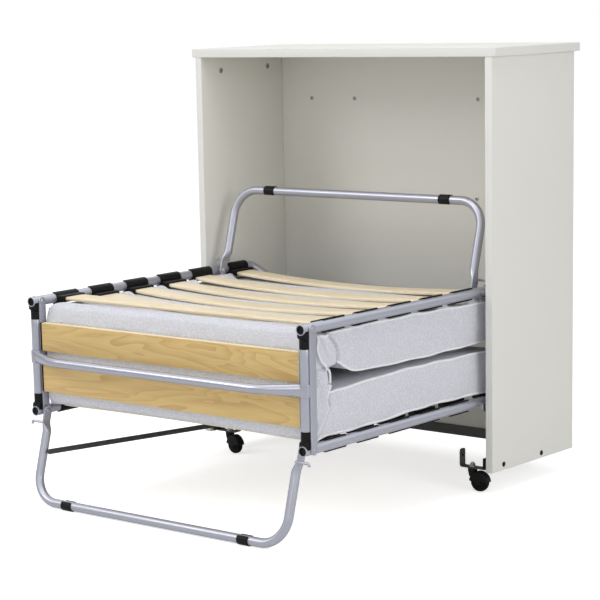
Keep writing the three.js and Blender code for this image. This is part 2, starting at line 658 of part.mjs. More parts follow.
function crossBow() {
  const start = RAIL_X - TUBE_RADIUS / 2;
  const corner = RAIL_X - BOW_BEND_INSET;
  const line = new BentLine([
    new THREE.Vector3(-start, POST_Y - TUBE_RADIUS, BOW_Z),
    new THREE.Vector3(-corner, BOW_Y, BOW_Z),
    new THREE.Vector3(corner, BOW_Y, BOW_Z),
    new THREE.Vector3(start, POST_Y - TUBE_RADIUS, BOW_Z),
  ], BOW_BEND_RADIUS, 4);
  const strapFront = HINGE_Y - STRAP_PAIR_WIDTH / 2 - GAP;
  const collar = POST_CLEARANCE + COLLAR_WALL + CUT_PAST;
  const reach = RAIL_X + collar;
  const behind = slab(-reach, reach, strapFront, POST_Y + collar, BOW_Z - COLLAR_HEIGHT,
    BOW_Z + COLLAR_HEIGHT);
  let bow = solid(sweep(line, BOW_RADIUS)).add(bowCollar(LEFT)).add(bowCollar(RIGHT));
  bow = bow.subtract(solid(sweep(line, BOW_RADIUS - TUBE_WALL)));
  for (const side of [LEFT, RIGHT]) {
    bow = bow.subtract(solid(barZ(POST_CLEARANCE, BOW_Z - COLLAR_HEIGHT, BOW_Z + COLLAR_HEIGHT,
      side * RAIL_X, POST_Y, 24)));
  }
  return piece('cross_bow', bow.subtract(solid(behind)), SILVER);
}

// Bolt along X with a flat head at each end.
function bolt(side, x0, x1, y, z) {
  return solid(barX(BOLT_RADIUS, side * x0, side * x1, y, z, 12))
    .add(solid(barX(BOLT_HEAD_RADIUS, side * x0, side * (x0 - BOLT_HEAD_HEIGHT), y, z, 12)))
    .add(solid(barX(BOLT_HEAD_RADIUS, side * x1, side * (x1 + BOLT_HEAD_HEIGHT), y, z, 12)));
}

function hingeBolt(name, side, { axisZ }) {
  const inner = axisZ === LOWER_RAIL_Z ? LEG_PLATE_X : RAIL_X - STRAP_OUTER;
  return piece(name, bolt(side, inner - GAP, RAIL_X + STRAP_OUTER + GAP, HINGE_Y, axisZ), ZINC);
}

// Bolt of the upper leg, with a spacer between the rail and the leg's plate.
function upperLegBolt(name, side) {
  const shank = bolt(side, LEG_PLATE_X - GAP, RAIL_X + TUBE_RADIUS + GAP,
    UPPER_LEG_Y, UPPER_RAIL_Z);
  const spacer = barX(BOLT_HEAD_RADIUS, side * (LEG_PLATE_X + LEG_PLATE_THICKNESS + GAP),
    side * (RAIL_X - TUBE_RADIUS - GAP), UPPER_LEG_Y, UPPER_RAIL_Z, 12);
  return piece(name, shank.add(solid(spacer)), ZINC);
}

// Flattened top of a leg, about the pivot, in the leg's own frame (it hangs to -Z).
function legPlate(side) {
  const half = LEG_PLATE_WIDTH / 2;
  const outline = new THREE.Shape();
  outline.absarc(0, 0, half, 0, Math.PI, false);
  outline.lineTo(-half, -LEG_PLATE_SHOULDER);
  outline.lineTo(-LEG_RADIUS + WELD, -LEG_TUBE_START);
  outline.lineTo(-LEG_RADIUS / 2, -LEG_PLATE_LENGTH);
  outline.lineTo(LEG_RADIUS / 2, -LEG_PLATE_LENGTH);
  outline.lineTo(LEG_RADIUS - WELD, -LEG_TUBE_START);
  outline.lineTo(half, -LEG_PLATE_SHOULDER);
  outline.holes.push(new THREE.Path().absarc(0, 0, BOLT_RADIUS + GAP, 0, 2 * Math.PI, true));
  return solid(plateX(outline, side * LEG_PLATE_X, side * (LEG_PLATE_X + LEG_PLATE_THICKNESS)));
}

// U-shaped leg hanging from its pivot, with the stop rods that meet the rail.
function legShape() {
  const line = new BentLine([
    new THREE.Vector3(-LEG_X, 0, -LEG_TUBE_START),
    new THREE.Vector3(-LEG_X, 0, -LEG_LENGTH),
    new THREE.Vector3(LEG_X, 0, -LEG_LENGTH),
    new THREE.Vector3(LEG_X, 0, -LEG_TUBE_START),
  ], LEG_BEND_RADIUS, 6);
  const lean = radians(LEG_LEAN);
  const rodY = -STOP_ROD_FORWARD * Math.cos(lean) + STOP_ROD_DOWN * Math.sin(lean);
  const rodZ = -STOP_ROD_FORWARD * Math.sin(lean) - STOP_ROD_DOWN * Math.cos(lean);
  let leg = solid(tube(line, LEG_RADIUS, TUBE_WALL));
  for (const side of [LEFT, RIGHT]) {
    leg = leg.add(legPlate(side))
      .add(solid(barX(STOP_ROD_RADIUS, side * LEG_PLATE_X, side * (RAIL_X + STOP_ROD_OVERHANG),
        rodY, rodZ, 8)));
  }
  return leg;
}

function footClip() {
  const inner = LEG_RADIUS + GAP;
  const open = radians(CLIP_OPENING) / 2;
  const outline = new THREE.Shape();
  outline.absarc(0, 0, CLIP_RADIUS, Math.PI / 2 + open, 2.5 * Math.PI - open, false);
  outline.absarc(0, 0, inner, 2.5 * Math.PI - open, Math.PI / 2 + open, true);
  return plateX(outline, -CLIP_LENGTH / 2, CLIP_LENGTH / 2, 8);
}

// Front leg with the bored hole for the link's bolt in its left tube.
function frontLegShape() {
  const lean = radians(LEG_LEAN);
  const forward = LINK_FRONT_Y - HINGE_Y;
  const up = LINK_FRONT_Z - LOWER_RAIL_Z;
  const y = forward * Math.cos(lean) - up * Math.sin(lean);
  const z = forward * Math.sin(lean) + up * Math.cos(lean);
  const reach = LEG_RADIUS + CUT_PAST;
  return legShape().subtract(solid(barX(LINK_PIN_RADIUS + GAP, -LEG_X - reach, -LEG_X + reach,
    y, z)));
}

function foldingLeg(name, shape, y, z, turnDegrees) {
  const group = new THREE.Group();
  group.position.set(0, y, z);
  group.rotation.x = radians(turnDegrees);
  group.add(piece(name, shape, SILVER));
  for (const [label, side] of [['left', LEFT], ['right', RIGHT]]) {
    const clip = piece(`${name}_foot_${label}`, solid(footClip()), BLACK_PLASTIC);
    clip.position.set(side * CLIP_X, 0, -LEG_LENGTH);
    clip.rotation.x = radians(LEG_LEAN);
    group.add(clip);
  }
  return group;
}

// Flat bar from the castor strap's tab to the front leg, in the Y-Z plane.
function linkBar() {
  const rear = new THREE.Vector2(LINK_REAR_Y, LINK_REAR_Z);
  const front = new THREE.Vector2(LINK_FRONT_Y, LINK_FRONT_Z);
  const slope = Math.atan2(rear.y - front.y, rear.x - front.x);
  const outline = new THREE.Shape();
  outline.absarc(rear.x, rear.y, LINK_WIDTH / 2, slope - Math.PI / 2, slope + Math.PI / 2, false);
  outline.absarc(front.x, front.y, LINK_WIDTH / 2, slope + Math.PI / 2,
    slope + 1.5 * Math.PI, false);
  outline.holes.push(new THREE.Path()
    .absarc(rear.x, rear.y, LINK_PIN_RADIUS + GAP, 0, 2 * Math.PI, true));
  return piece('link_bar', plateX(outline, -LINK_X, -LINK_X + LINK_THICKNESS, 8), DARK_STEEL);
}

// Bolt through the leg's tube that the link hooks onto, its tip short of the bar.
function linkBolt() {
  const tip = -LINK_X - GAP;
  const back = -LEG_X - LEG_RADIUS - GAP;
  const shank = solid(barX(LINK_PIN_RADIUS, back, tip, LINK_FRONT_Y, LINK_FRONT_Z, 12));
  const head = solid(barX(LINK_BOLT_HEAD_RADIUS, back - BOLT_HEAD_HEIGHT, back,
    LINK_FRONT_Y, LINK_FRONT_Z, 12));
  return piece('link_bolt', shank.add(head), DARK_STEEL);
}

// Padded section with its long edges rounded, as an outline in the Y-Z plane.
function padOutline(y0, y1, z0, z1) {
  const r = MATTRESS_EDGE;
  const outline = new THREE.Shape();
  outline.absarc(y1 - r, z0 + r, r, -Math.PI / 2, 0, false);
  outline.absarc(y1 - r, z1 - r, r, 0, Math.PI / 2, false);
  outline.absarc(y0 + r, z1 - r, r, Math.PI / 2, Math.PI, false);
  outline.absarc(y0 + r, z0 + r, r, Math.PI, 1.5 * Math.PI, false);
  return outline;
}

function pad(halfWidth, y0, y1, z0, z1) {
  return plateX(padOutline(y0, y1, z0, z1), -halfWidth, halfWidth, 4);
}

function mattress(name, halfWidth, y0, y1, z0, z1) {
  return piece(name, pad(halfWidth, y0, y1, z0, z1), KNIT);
}

// Middle section: it fills out in front of the first slats, where nothing holds it down.
function middleMattress(y0) {
  const halfWidth = MIDDLE_MATTRESS_HALF_WIDTH;
  const body = pad(halfWidth, y0, y0 + MIDDLE_MATTRESS_THICKNESS, MIDDLE_MATTRESS_BOTTOM,
    MIDDLE_MATTRESS_TOP);
  const roll = pad(halfWidth, y0, y0 + FOOT_ROLL_THICKNESS, FOOT_ROLL_BOTTOM, FOOT_ROLL_TOP);
  return piece('mattress_middle', solid(body).add(solid(roll)), KNIT);
}

function buildCabinet(group) {
  group.add(cabinetSide('cabinet_side_left', LEFT), cabinetSide('cabinet_side_right', RIGHT));
  group.add(cabinetTop(), cabinetBack(), baseCrossRail());
  group.add(baseFrame('base_frame_left', LEFT), baseFrame('base_frame_right', RIGHT));
  group.add(castor('front_left', LEFT * STEM_X, LINK_REAR_Y, FRONT_LEFT_TRAIL));
  group.add(castor('front_right', RIGHT * STEM_X, LINK_REAR_Y, FRONT_RIGHT_TRAIL));
  group.add(castor('rear_left', LEFT * REAR_STEM_X, REAR_CASTOR_Y, REAR_LEFT_TRAIL));
  group.add(castor('rear_right', RIGHT * REAR_STEM_X, REAR_CASTOR_Y, REAR_RIGHT_TRAIL));
}

function buildHalf(group, label, half, slatsY) {
  group.add(halfFrame(`${label}_frame`, half));
  slatsY.forEach((y, i) => group.add(slatWithHolders(`${label}_slat_${i + 1}`, y, half,
    i + 1 === PRESSED_SLAT)));
  for (const [word, side] of [['left', LEFT], ['right', RIGHT]]) {
    group.add(railPlug(`${label}_rail_plug_${word}`, side, half));
    group.add(postPlug(`post_plug_${label}_${word}`, side, half));
    group.add(hingeBolt(`hinge_bolt_${label}_${word}`, side, half));
  }
}

function buildMiddle(group) {
  group.add(middlePost('middle_post_left', LEFT), middlePost('middle_post_right', RIGHT));
  group.add(plank('plank_upper', UPPER_PLANK_BOTTOM), plank('plank_lower', LOWER_PLANK_BOTTOM));
  group.add(crossBow());
}

function buildLegs(group) {
  group.add(foldingLeg('front_leg', frontLegShape(), HINGE_Y, LOWER_RAIL_Z, -LEG_LEAN));
  group.add(foldingLeg('upper_leg', legShape(), UPPER_LEG_Y, UPPER_RAIL_Z,
    180 - LEG_LEAN));
  group.add(upperLegBolt('upper_leg_bolt_left', LEFT));
  group.add(upperLegBolt('upper_leg_bolt_right', RIGHT));
  group.add(linkBar(), linkBolt());
}

function buildMattress(group) {
  group.add(mattress('mattress_lower', MATTRESS_HALF_WIDTH, MATTRESS_FRONT_Y,
    LOWER_MATTRESS_REAR_Y, LOWER_MATTRESS_BOTTOM, LOWER_MATTRESS_TOP));
  group.add(mattress('mattress_upper', MATTRESS_HALF_WIDTH, MATTRESS_FRONT_Y,
    UPPER_MATTRESS_REAR_Y, UPPER_MATTRESS_BOTTOM, UPPER_MATTRESS_TOP));
  group.add(middleMattress(PLANK_Y + PLANK_THICKNESS / 2 + GAP));
}

const bed = new THREE.Group();
buildCabinet(bed);
buildHalf(bed, 'lower', LOWER_HALF, LOWER_SLATS_Y);
buildHalf(bed, 'upper', UPPER_HALF, UPPER_SLATS_Y);
buildMiddle(bed);
buildLegs(bed);
buildMattress(bed);

// The origin is at the middle of the part's box, on the floor.
const FRONT_REACH = HINGE_Y - LEG_LENGTH * Math.sin(radians(LEG_LEAN)) - CLIP_RADIUS;
const REAR_REACH = SIDE_DEPTH + TOP_OVERHANG_REAR;
bed.position.y = -(FRONT_REACH + REAR_REACH) / 2;

export default bed;
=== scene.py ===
"""Folding guest bed with its castor cabinet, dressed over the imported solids.

Lengths are millimetres in the cabinet's own frame (X across, Y from the panels' front edge
towards the rear, Z above the floor) until a piece is made, which turns them into metres.
"""
import math

import bmesh
import bpy
import numpy as np
from mathutils import Matrix, Vector


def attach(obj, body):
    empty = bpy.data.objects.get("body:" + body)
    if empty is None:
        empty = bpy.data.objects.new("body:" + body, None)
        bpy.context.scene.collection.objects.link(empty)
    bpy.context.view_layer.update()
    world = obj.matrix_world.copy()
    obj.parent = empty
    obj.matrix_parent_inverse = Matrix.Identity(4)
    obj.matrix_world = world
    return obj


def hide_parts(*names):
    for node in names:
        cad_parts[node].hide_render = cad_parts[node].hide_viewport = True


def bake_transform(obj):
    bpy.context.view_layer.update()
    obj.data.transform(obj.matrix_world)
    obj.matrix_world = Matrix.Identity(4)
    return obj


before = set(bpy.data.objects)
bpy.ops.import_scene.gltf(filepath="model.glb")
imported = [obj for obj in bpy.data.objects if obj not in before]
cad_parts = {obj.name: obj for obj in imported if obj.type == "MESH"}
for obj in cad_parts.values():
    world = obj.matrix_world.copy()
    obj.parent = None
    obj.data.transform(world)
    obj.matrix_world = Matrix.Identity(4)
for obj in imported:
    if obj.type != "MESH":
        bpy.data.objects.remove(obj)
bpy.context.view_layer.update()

ROW_SHIFT = np.array([0.0, 163.60123, 0.0])
TAU = 2 * math.pi


# ---------------------------------------------------------------- camera
def set_camera():
    """Camera found from the cabinet's corners in the photograph: a long lens, shifted."""
    focal, middle_x, middle_y, side = 2109.21, 202.33, 384.09, 600
    turn, pitch, roll = 0.726554, 0.180623, -0.027263
    ahead = Vector((-math.sin(turn) * math.cos(pitch), math.cos(turn) * math.cos(pitch),
                    -math.sin(pitch)))
    level = Vector((math.cos(turn), math.sin(turn), 0))
    upright = level.cross(ahead)
    right = level * math.cos(roll) + upright * math.sin(roll)
    top = upright * math.cos(roll) - level * math.sin(roll)
    data = bpy.data.cameras.new("camera")
    data.sensor_width = 36
    data.lens = 36 * focal / side
    data.shift_x = (side / 2 - middle_x) / side
    data.shift_y = (middle_y - side / 2) / side
    data.clip_start, data.clip_end = 0.1, 60
    camera = bpy.data.objects.new("camera", data)
    place = Matrix((right, top, -ahead)).transposed().to_4x4()
    place.translation = Vector((3.021464, -3.727178, 1.118726))
    camera.matrix_world = place
    bpy.context.scene.collection.objects.link(camera)
    bpy.context.scene.camera = camera


set_camera()
bpy.context.scene.view_settings.view_transform = "Standard"


# ---------------------------------------------------------------- materials
def put(tree, kind, feeds=None, **traits):
    """One shader node with its traits set and its sockets filled or linked."""
    node = tree.nodes.new(kind)
    for key, value in traits.items():
        setattr(node, key, value)
    for key, value in (feeds or {}).items():
        if isinstance(value, bpy.types.NodeSocket):
            tree.links.new(value, node.inputs[key])
        else:
            node.inputs[key].default_value = value
    return node


def reckon(tree, operation, one, two):
    """Result of a Math node."""
    return put(tree, "ShaderNodeMath", {0: one, 1: two}, operation=operation).outputs[0]


def clouds(tree, place, scale, detail, **more):
    """Factor of a Noise Texture node."""
    return put(tree, "ShaderNodeTexNoise", {"Vector": place, "Scale": scale,
                                            "Detail": detail, **more}).outputs[0]


def cells(tree, place, scale, feeds=None, **traits):
    """Distance of a Voronoi Texture node."""
    return put(tree, "ShaderNodeTexVoronoi", {"Vector": place, "Scale": scale,
                                              **(feeds or {})}, **traits).outputs["Distance"]


def remap(tree, value, old, new):
    """Value carried in a straight line from one range to another, and held at its ends."""
    return put(tree, "ShaderNodeMapRange", {
        "Value": value, "From Min": old[0], "From Max": old[1],
        "To Min": new[0], "To Max": new[1]}).outputs[0]


def stretched(tree, place, scale, turn=(0, 0, 0)):
    """Coordinates after a Mapping node."""
    return put(tree, "ShaderNodeMapping", {"Vector": place, "Rotation": turn,
                                           "Scale": scale}).outputs[0]


def blended(tree, share, one, two):
    """Colour between two."""
    return put(tree, "ShaderNodeMix", {0: share, "A": one, "B": two},
               data_type="RGBA").outputs["Result"]


def brightened(tree, colour, level):
    """Colour times a level."""
    return put(tree, "ShaderNodeVectorMath", {0: colour, "Scale": level},
               operation="SCALE").outputs[0]


COLOR, FLOAT = "NodeSocketColor", "NodeSocketFloat"


def open_effect(name, colours, numbers):
    """Node group with its inlets: the group, its inlets' sockets, Object coordinates."""
    group = bpy.data.node_groups.new(name, "ShaderNodeTree")
    for kind, inlets in ((COLOR, colours), (FLOAT, numbers)):
        for label, value in inlets.items():
            socket = group.interface.new_socket(label, in_out="INPUT", socket_type=kind)
            socket.default_value = value
    start = group.nodes.new("NodeGroupInput")
    return group, start.outputs, put(group, "ShaderNodeTexCoord").outputs["Object"]


def close_effect(group, **results):
    """Puts out a group's results: a colour under Color, and numbers under other names."""
    for label in results:
        group.interface.new_socket(label, in_out="OUTPUT",
                                   socket_type=COLOR if label == "Color" else FLOAT)
    end = group.nodes.new("NodeGroupOutput")
    for label, value in results.items():
        group.links.new(value, end.inputs[label])
    return group


def make_speckle():
    """Fine grain over a slow drift: both brighten and darken a base colour a little."""
    group, inlet, place = open_effect("speckle", {"Base": (0.8, 0.8, 0.8, 1)}, {
        "Grain": 900.0, "Drift": 6.0, "Grain Amount": 0.05, "Drift Amount": 0.05})
    fine = clouds(group, place, inlet["Grain"], 3.0)
    slow = clouds(group, place, inlet["Drift"], 4.0, Roughness=0.6)
    swings = [reckon(group, "MULTIPLY", reckon(group, "SUBTRACT", cloud, 0.5), inlet[amount])
              for cloud, amount in ((fine, "Grain Amount"), (slow, "Drift Amount"))]
    level = reckon(group, "ADD", reckon(group, "ADD", *swings), 1.0)
    return close_effect(group, Color=brightened(group, inlet["Base"], level), Height=fine)


def make_timber():
    """Growth rings as bands of a stretched, bent distance, with fine pores along X."""
    group, inlet, place = open_effect(
        "timber", {"Pale": (0.8, 0.6, 0.35, 1), "Deep": (0.6, 0.4, 0.2, 1)},
        {"Rings": 40.0, "Bend": 3.0, "Spread": 0.4, "Shift": 0.0, "Swirl": 0.6})
    moved = put(group, "ShaderNodeCombineXYZ", {"X": inlet["Shift"], "Y": inlet["Shift"]})
    spot = put(group, "ShaderNodeVectorMath", {0: place, 1: moved.outputs[0]},
               operation="ADD").outputs[0]
    long_way = stretched(group, spot, (1.1, 9.0, 9.0))
    wander = clouds(group, long_way, 1.6, 2.0, Roughness=0.45, Distortion=inlet["Swirl"])
    bands = reckon(group, "FRACT", reckon(group, "MULTIPLY", wander, inlet["Rings"]), 0.5)
    bands = reckon(group, "POWER", bands, inlet["Spread"])
    fibre = clouds(group, stretched(group, spot, (14.0, 420.0, 420.0)), 1.0, 3.0)
    fade = clouds(group, long_way, inlet["Bend"], 3.0)
    figure = blended(group, reckon(group, "MULTIPLY", bands, fade), inlet["Pale"],
                     inlet["Deep"])
    streak = remap(group, fibre, (0.3, 0.7), (0.95, 1.05))
    return close_effect(group, Color=brightened(group, figure, streak), Height=fibre)


def make_jersey():
    """Knitted loops as small cells, over rows of soft raised lozenges in a paler yarn."""
    group, inlet, place = open_effect(
        "jersey", {"Ground": (0.6, 0.6, 0.63, 1), "Raised": (0.75, 0.75, 0.78, 1)},
        {"Motif": 90.0, "Loops": 700.0})
    slanted = stretched(group, place, (1, 1, 1), (math.radians(45), math.radians(35), 0))
    motif = cells(group, slanted, inlet["Motif"], {"Randomness": 0.8, "Smoothness": 0.35},
                  feature="SMOOTH_F1")
    ridge = remap(group, motif, (0.18, 0.62), (1.0, 0.0))
    loops = cells(group, place, inlet["Loops"])
    patchy = reckon(group, "ADD", clouds(group, place, 60.0, 3.0), 0.35)
    yarn = blended(group, reckon(group, "MULTIPLY", ridge, patchy), inlet["Ground"],
                   inlet["Raised"])
    # Painted shade: each loop darkens towards its rim, where the bump dips between loops.
    shade = remap(group, loops, (0.0, 0.9), (1.04, 0.9))
    height = reckon(group, "SUBTRACT", reckon(group, "MULTIPLY", ridge, 2.0), loops)
    return close_effect(group, Color=brightened(group, yarn, shade), Height=height)


def make_smudge():
    """Roughness that drifts between two values, as handling leaves it."""
    group, inlet, place = open_effect("smudge", {}, {"Low": 0.3, "High": 0.5, "Size": 12.0})
    cloud = clouds(group, place, inlet["Size"], 5.0, Roughness=0.65)
    return close_effect(group, Roughness=remap(group, cloud, (0.3, 0.7),
                                               (inlet["Low"], inlet["High"])))


SPECKLE, TIMBER, JERSEY, SMUDGE = make_speckle(), make_timber(), make_jersey(), make_smudge()


def finish(name, slot, group, values, rough, bump=0.1, reach=0.0004, **sockets):
    """Material with a Principled shader fed by a shared effect, a smudge and a bump."""
    material = bpy.data.materials.new(name)
    material.use_nodes = True
    tree = material.node_tree
    shader = tree.nodes["Principled BSDF"]
    effect = put(tree, "ShaderNodeGroup", node_tree=group)
    for key, value in values.items():
        effect.inputs[key].default_value = value
    smudge = put(tree, "ShaderNodeGroup", node_tree=SMUDGE)
    smudge.inputs["Low"].default_value, smudge.inputs["High"].default_value = rough
    tree.links.new(effect.outputs["Color"], shader.inputs["Base Color"])
    tree.links.new(smudge.outputs["Roughness"], shader.inputs["Roughness"])
    bumps = put(tree, "ShaderNodeBump", {"Strength": bump, "Distance": reach,
                                         "Height": effect.outputs["Height"]})
    tree.links.new(bumps.outputs["Normal"], shader.inputs["Normal"])
    for key, value in sockets.items():
        shader.inputs[key.replace("_", " ")].default_value = value
    return material


def rgb(*levels):
    """Colour from 0-255 display values."""
    c = np.array(levels, float) / 255
    linear = np.where(c <= 0.04045, c / 12.92, ((c + 0.055) / 1.055) ** 2.4)
    return (*linear, 1.0)


def plain(name, slot, base, rough, grain, drift, bump=0.1, reach=0.0003, **sockets):
    """Material of one colour with the speckle effect over it. grain and drift are the
    scale and the amount of the two."""
    return finish(name, slot, SPECKLE, {
        "Base": rgb(*base), "Grain": grain[0], "Grain Amount": grain[1], "Drift": drift[0],
        "Drift Amount": drift[1]}, rough, bump, reach, **sockets)


def wood(name, pale, deep, rough, bump, figure, **sockets):
    """Material with the timber effect between two colours."""
    return finish(name, name.split("_")[0], TIMBER,
                  {"Pale": rgb(*pale), "Deep": rgb(*deep), **figure}, rough, bump, 0.0002,
                  **sockets)


def knitted(name, ground, raised, motif, loops, rough, bump, reach):
    """Material with the jersey effect and a light sheen."""
    return finish(name, "knit", JERSEY, {"Ground": rgb(*ground), "Raised": rgb(*raised),
                                         "Motif": motif, "Loops": loops},
                  rough, bump, reach, Sheen_Weight=0.2, Sheen_Roughness=0.5)


LAMINATE = plain("white_laminate", "laminate", (229, 228, 222), (0.34, 0.5),
                 (1400.0, 0.03), (2.5, 0.02), 0.12, 0.0002)
EDGING = plain("white_edging", "laminate", (229, 229, 226), (0.3, 0.42),
               (700.0, 0.02), (6.0, 0.06), 0.05)
POWDER_COAT = plain("silver_powder_coat", "silver_steel", (168, 170, 181), (0.3, 0.42),
                    (2600.0, 0.16), (9.0, 0.05), 0.1, 0.0002, Metallic=0.65,
                    Coat_Weight=0.2, Coat_Roughness=0.25)
BRIGHT_STEEL = plain("bright_steel", "zinc", (166, 167, 178), (0.26, 0.34),
                     (1400.0, 0.05), (9.0, 0.05), 0.03, 0.0001, Metallic=0.75)
DARK_STEEL = plain("dark_steel", "dark_steel", (72, 72, 72), (0.42, 0.58),
                   (1500.0, 0.2), (20.0, 0.2), 0.15, 0.0002, Metallic=0.35)
ZINC = plain("zinc_plate", "zinc", (168, 170, 172), (0.28, 0.42),
             (1800.0, 0.12), (60.0, 0.12), 0.08, Metallic=0.85)
BLACK_PLASTIC = plain("black_plastic", "black_plastic", (19, 19, 21), (0.42, 0.58),
                      (1700.0, 0.4), (30.0, 0.25), 0.25, Specular_IOR_Level=0.14)
BLACK_RUBBER = plain("castor_tread", "black_plastic", (15, 15, 16), (0.55, 0.7),
                     (1100.0, 0.4), (40.0, 0.3), 0.25, Specular_IOR_Level=0.1)
BIRCH = wood("birch_ply", (243, 230, 200), (226, 200, 158), (0.36, 0.5), 0.2,
             {"Rings": 14.0, "Bend": 2.0, "Spread": 1.0}, Coat_Weight=0.1,
             Coat_Roughness=0.3)
MAPLE = wood("maple_face", (218, 187, 123), (184, 141, 76), (0.36, 0.5), 0.15,
             {"Rings": 10.0, "Bend": 5.0, "Spread": 2.2, "Shift": 3.7, "Swirl": 1.25},
             Coat_Weight=0.12, Coat_Roughness=0.3)
MAPLE_EDGE = wood("maple_edge", (248, 236, 205), (236, 214, 168), (0.4, 0.55), 0.2,
                  {"Rings": 30.0, "Bend": 2.0, "Spread": 1.0})
KNIT = knitted("grey_knit", (216, 217, 225), (231, 232, 240), 190.0, 760.0, (0.8, 0.95),
               0.4, 0.0009)
WHITE_TAPE = knitted("white_binding", (242, 243, 246), (250, 250, 252), 260.0, 1500.0,
                     (0.7, 0.9), 0.3, 0.0004)


# ---------------------------------------------------------------- skins
def fan_volume(points, corners):
    """Six times the signed volume between the origin and faces, each cut into a fan of
    triangles about its first corner. corners is a (faces, n) array."""
    spots = points[corners]
    hub = np.broadcast_to(spots[:, :1], spots[:, 2:].shape)
    return np.einsum("ijk,ijk->", hub, np.cross(spots[:, 1:-1], spots[:, 2:]))


def skin(rows):
    """Closed skin over an (m, n, 3) grid: m rings of n points one after another, the first
    and last ring shut by a flat face. All faces are turned over where the skin's signed
    volume is negative."""
    rows = np.asarray(rows, float)
    m, n, _ = rows.shape
    i, j = np.arange(m - 1)[:, None] * n, np.arange(n)
    k = (j + 1) % n
    quads = np.stack([i + j, i + k, i + n + k, i + n + j], -1).reshape(-1, 4)
    caps = np.array([j[::-1], (m - 1) * n + j])
    points = rows.reshape(-1, 3)
    centred = points - points.mean(0)
    faces = quads.tolist() + caps.tolist()
    if fan_volume(centred, quads) + fan_volume(centred, caps) < 0:
        faces = [face[::-1] for face in faces]
    return points, faces


def piece(name, body, skins, material, replaces=(), sharp=40):
    """One object from one or more skins, in metres. It rides on a body, unless that is
    None, and stands for the CAD nodes that it replaces."""
    points, faces, shift = [], [], 0
    for p, f in skins:
        points.append(p)
        faces += [[k + shift for k in face] for face in f]
        shift += len(p)
    spots = (np.concatenate(points) + ROW_SHIFT) / 1000
    mesh = bpy.data.meshes.new(name)
    mesh.from_pydata(spots.tolist(), [], faces)
    work = bmesh.new()
    work.from_mesh(mesh)
    bmesh.ops.remove_doubles(work, verts=work.verts, dist=2e-6)
    work.to_mesh(mesh)
    work.free()
    mesh.shade_smooth()
    mesh.set_sharp_from_angle(angle=math.radians(sharp))
    mesh.materials.append(material)
    item = bpy.data.objects.new(name, mesh)
    bpy.context.scene.collection.objects.link(item)
    if body:
        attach(item, body)
    if replaces:
        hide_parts(*replaces)
    return item


def rounded_path(corners, radius, steps=14):
    """Centre line through corner points: each inner corner becomes an arc that touches
    both of its sides."""
    corners = [np.array(c, float) for c in corners]
    line = [corners[0]]
    for before, corner, after in zip(corners, corners[1:], corners[2:]):
        into, out = corner - before, after - corner
        into, out = into / np.linalg.norm(into), out / np.linalg.norm(out)
        turn = math.acos(np.clip(into @ out, -1, 1))
        axis = np.cross(into, out) / np.linalg.norm(np.cross(into, out))
        towards = np.cross(axis, into)
        start = corner - into * radius * math.tan(turn / 2)
        angle = np.linspace(0, turn, steps)[:, None]
        line += list(start + radius * (towards * (1 - np.cos(angle)) + into * np.sin(angle)))
    line.append(corners[-1])
    return np.array(line)


def directions(path):
    """Unit tangents along a path, and two crossing directions carried along without twist."""
    tangent = np.gradient(path, axis=0)
    tangent[0], tangent[-1] = path[1] - path[0], path[-1] - path[-2]
    tangent /= np.linalg.norm(tangent, axis=1)[:, None]
    seed = np.array([0, 0, 1.0]) if abs(tangent[0][2]) < 0.9 else np.array([0, 1.0, 0])
    across = np.zeros_like(path)
    across[0] = np.cross(tangent[0], seed)
    across[0] /= np.linalg.norm(across[0])
    for k in range(1, len(path)):
        v = across[k - 1] - tangent[k] * (across[k - 1] @ tangent[k])
        across[k] = v / np.linalg.norm(v)
    return tangent, across, np.cross(tangent, across)


def pipe(path, radius, sides, wall=None, bore=0.0, lip=0.4):
    """Tube around a path. With a wall, both ends turn in over a small lip and run back
    down the bore; without one they are rounded off."""
    tangent, across, over = directions(path)
    angle = np.linspace(0, TAU, sides, endpoint=False)[:, None]
    ring = np.cos(angle) * across[:, None] + np.sin(angle) * over[:, None]
    if wall:
        inner = radius - wall
        steps = [(inner, bore), (inner, lip), (inner + lip, 0), (radius - lip, 0),
                 (radius - lip * 0.3, lip * 0.3), (radius, lip)]
    else:
        steps = [(radius * math.sin(a), radius * 0.35 * (1 - math.cos(a)))
                 for a in np.linspace(0.15, math.pi / 2, 6)]
    head = [path[0] + tangent[0] * along + ring[0] * r for r, along in steps]
    tail = [path[-1] - tangent[-1] * along + ring[-1] * r for r, along in steps[::-1]]
    return skin(np.concatenate([head, path[1:-1, None] + ring[1:-1] * radius, tail]))


def turned(profile, centre, axis="x", sides=40):
    """Solid of revolution: profile rows are (distance along the axis, radius)."""
    profile = np.array(profile, float)
    angle = np.linspace(0, TAU, sides, endpoint=False)
    along = np.repeat(profile[:, :1], sides, 1)
    one = profile[:, 1:] * np.cos(angle)
    two = profile[:, 1:] * np.sin(angle)
    order = {"x": (along, one, two), "y": (two, along, one), "z": (one, two, along)}[axis]
    return skin(np.stack(order, -1) + np.array(centre, float))


def dome(radius, height, flip, foot=0.0):
    """Profile of a low round head that stands on a flat, facing the way of flip."""
    rows = [(foot, radius * 0.98), (foot + 0.001, radius)]
    rows += [(foot + height * (0.25 + 0.75 * math.sin(t)),
              max(radius * math.cos(t) ** 0.7, 0.001)) for t in np.linspace(0, math.pi / 2, 8)]
    return [(flip * a, r) for a, r in rows]


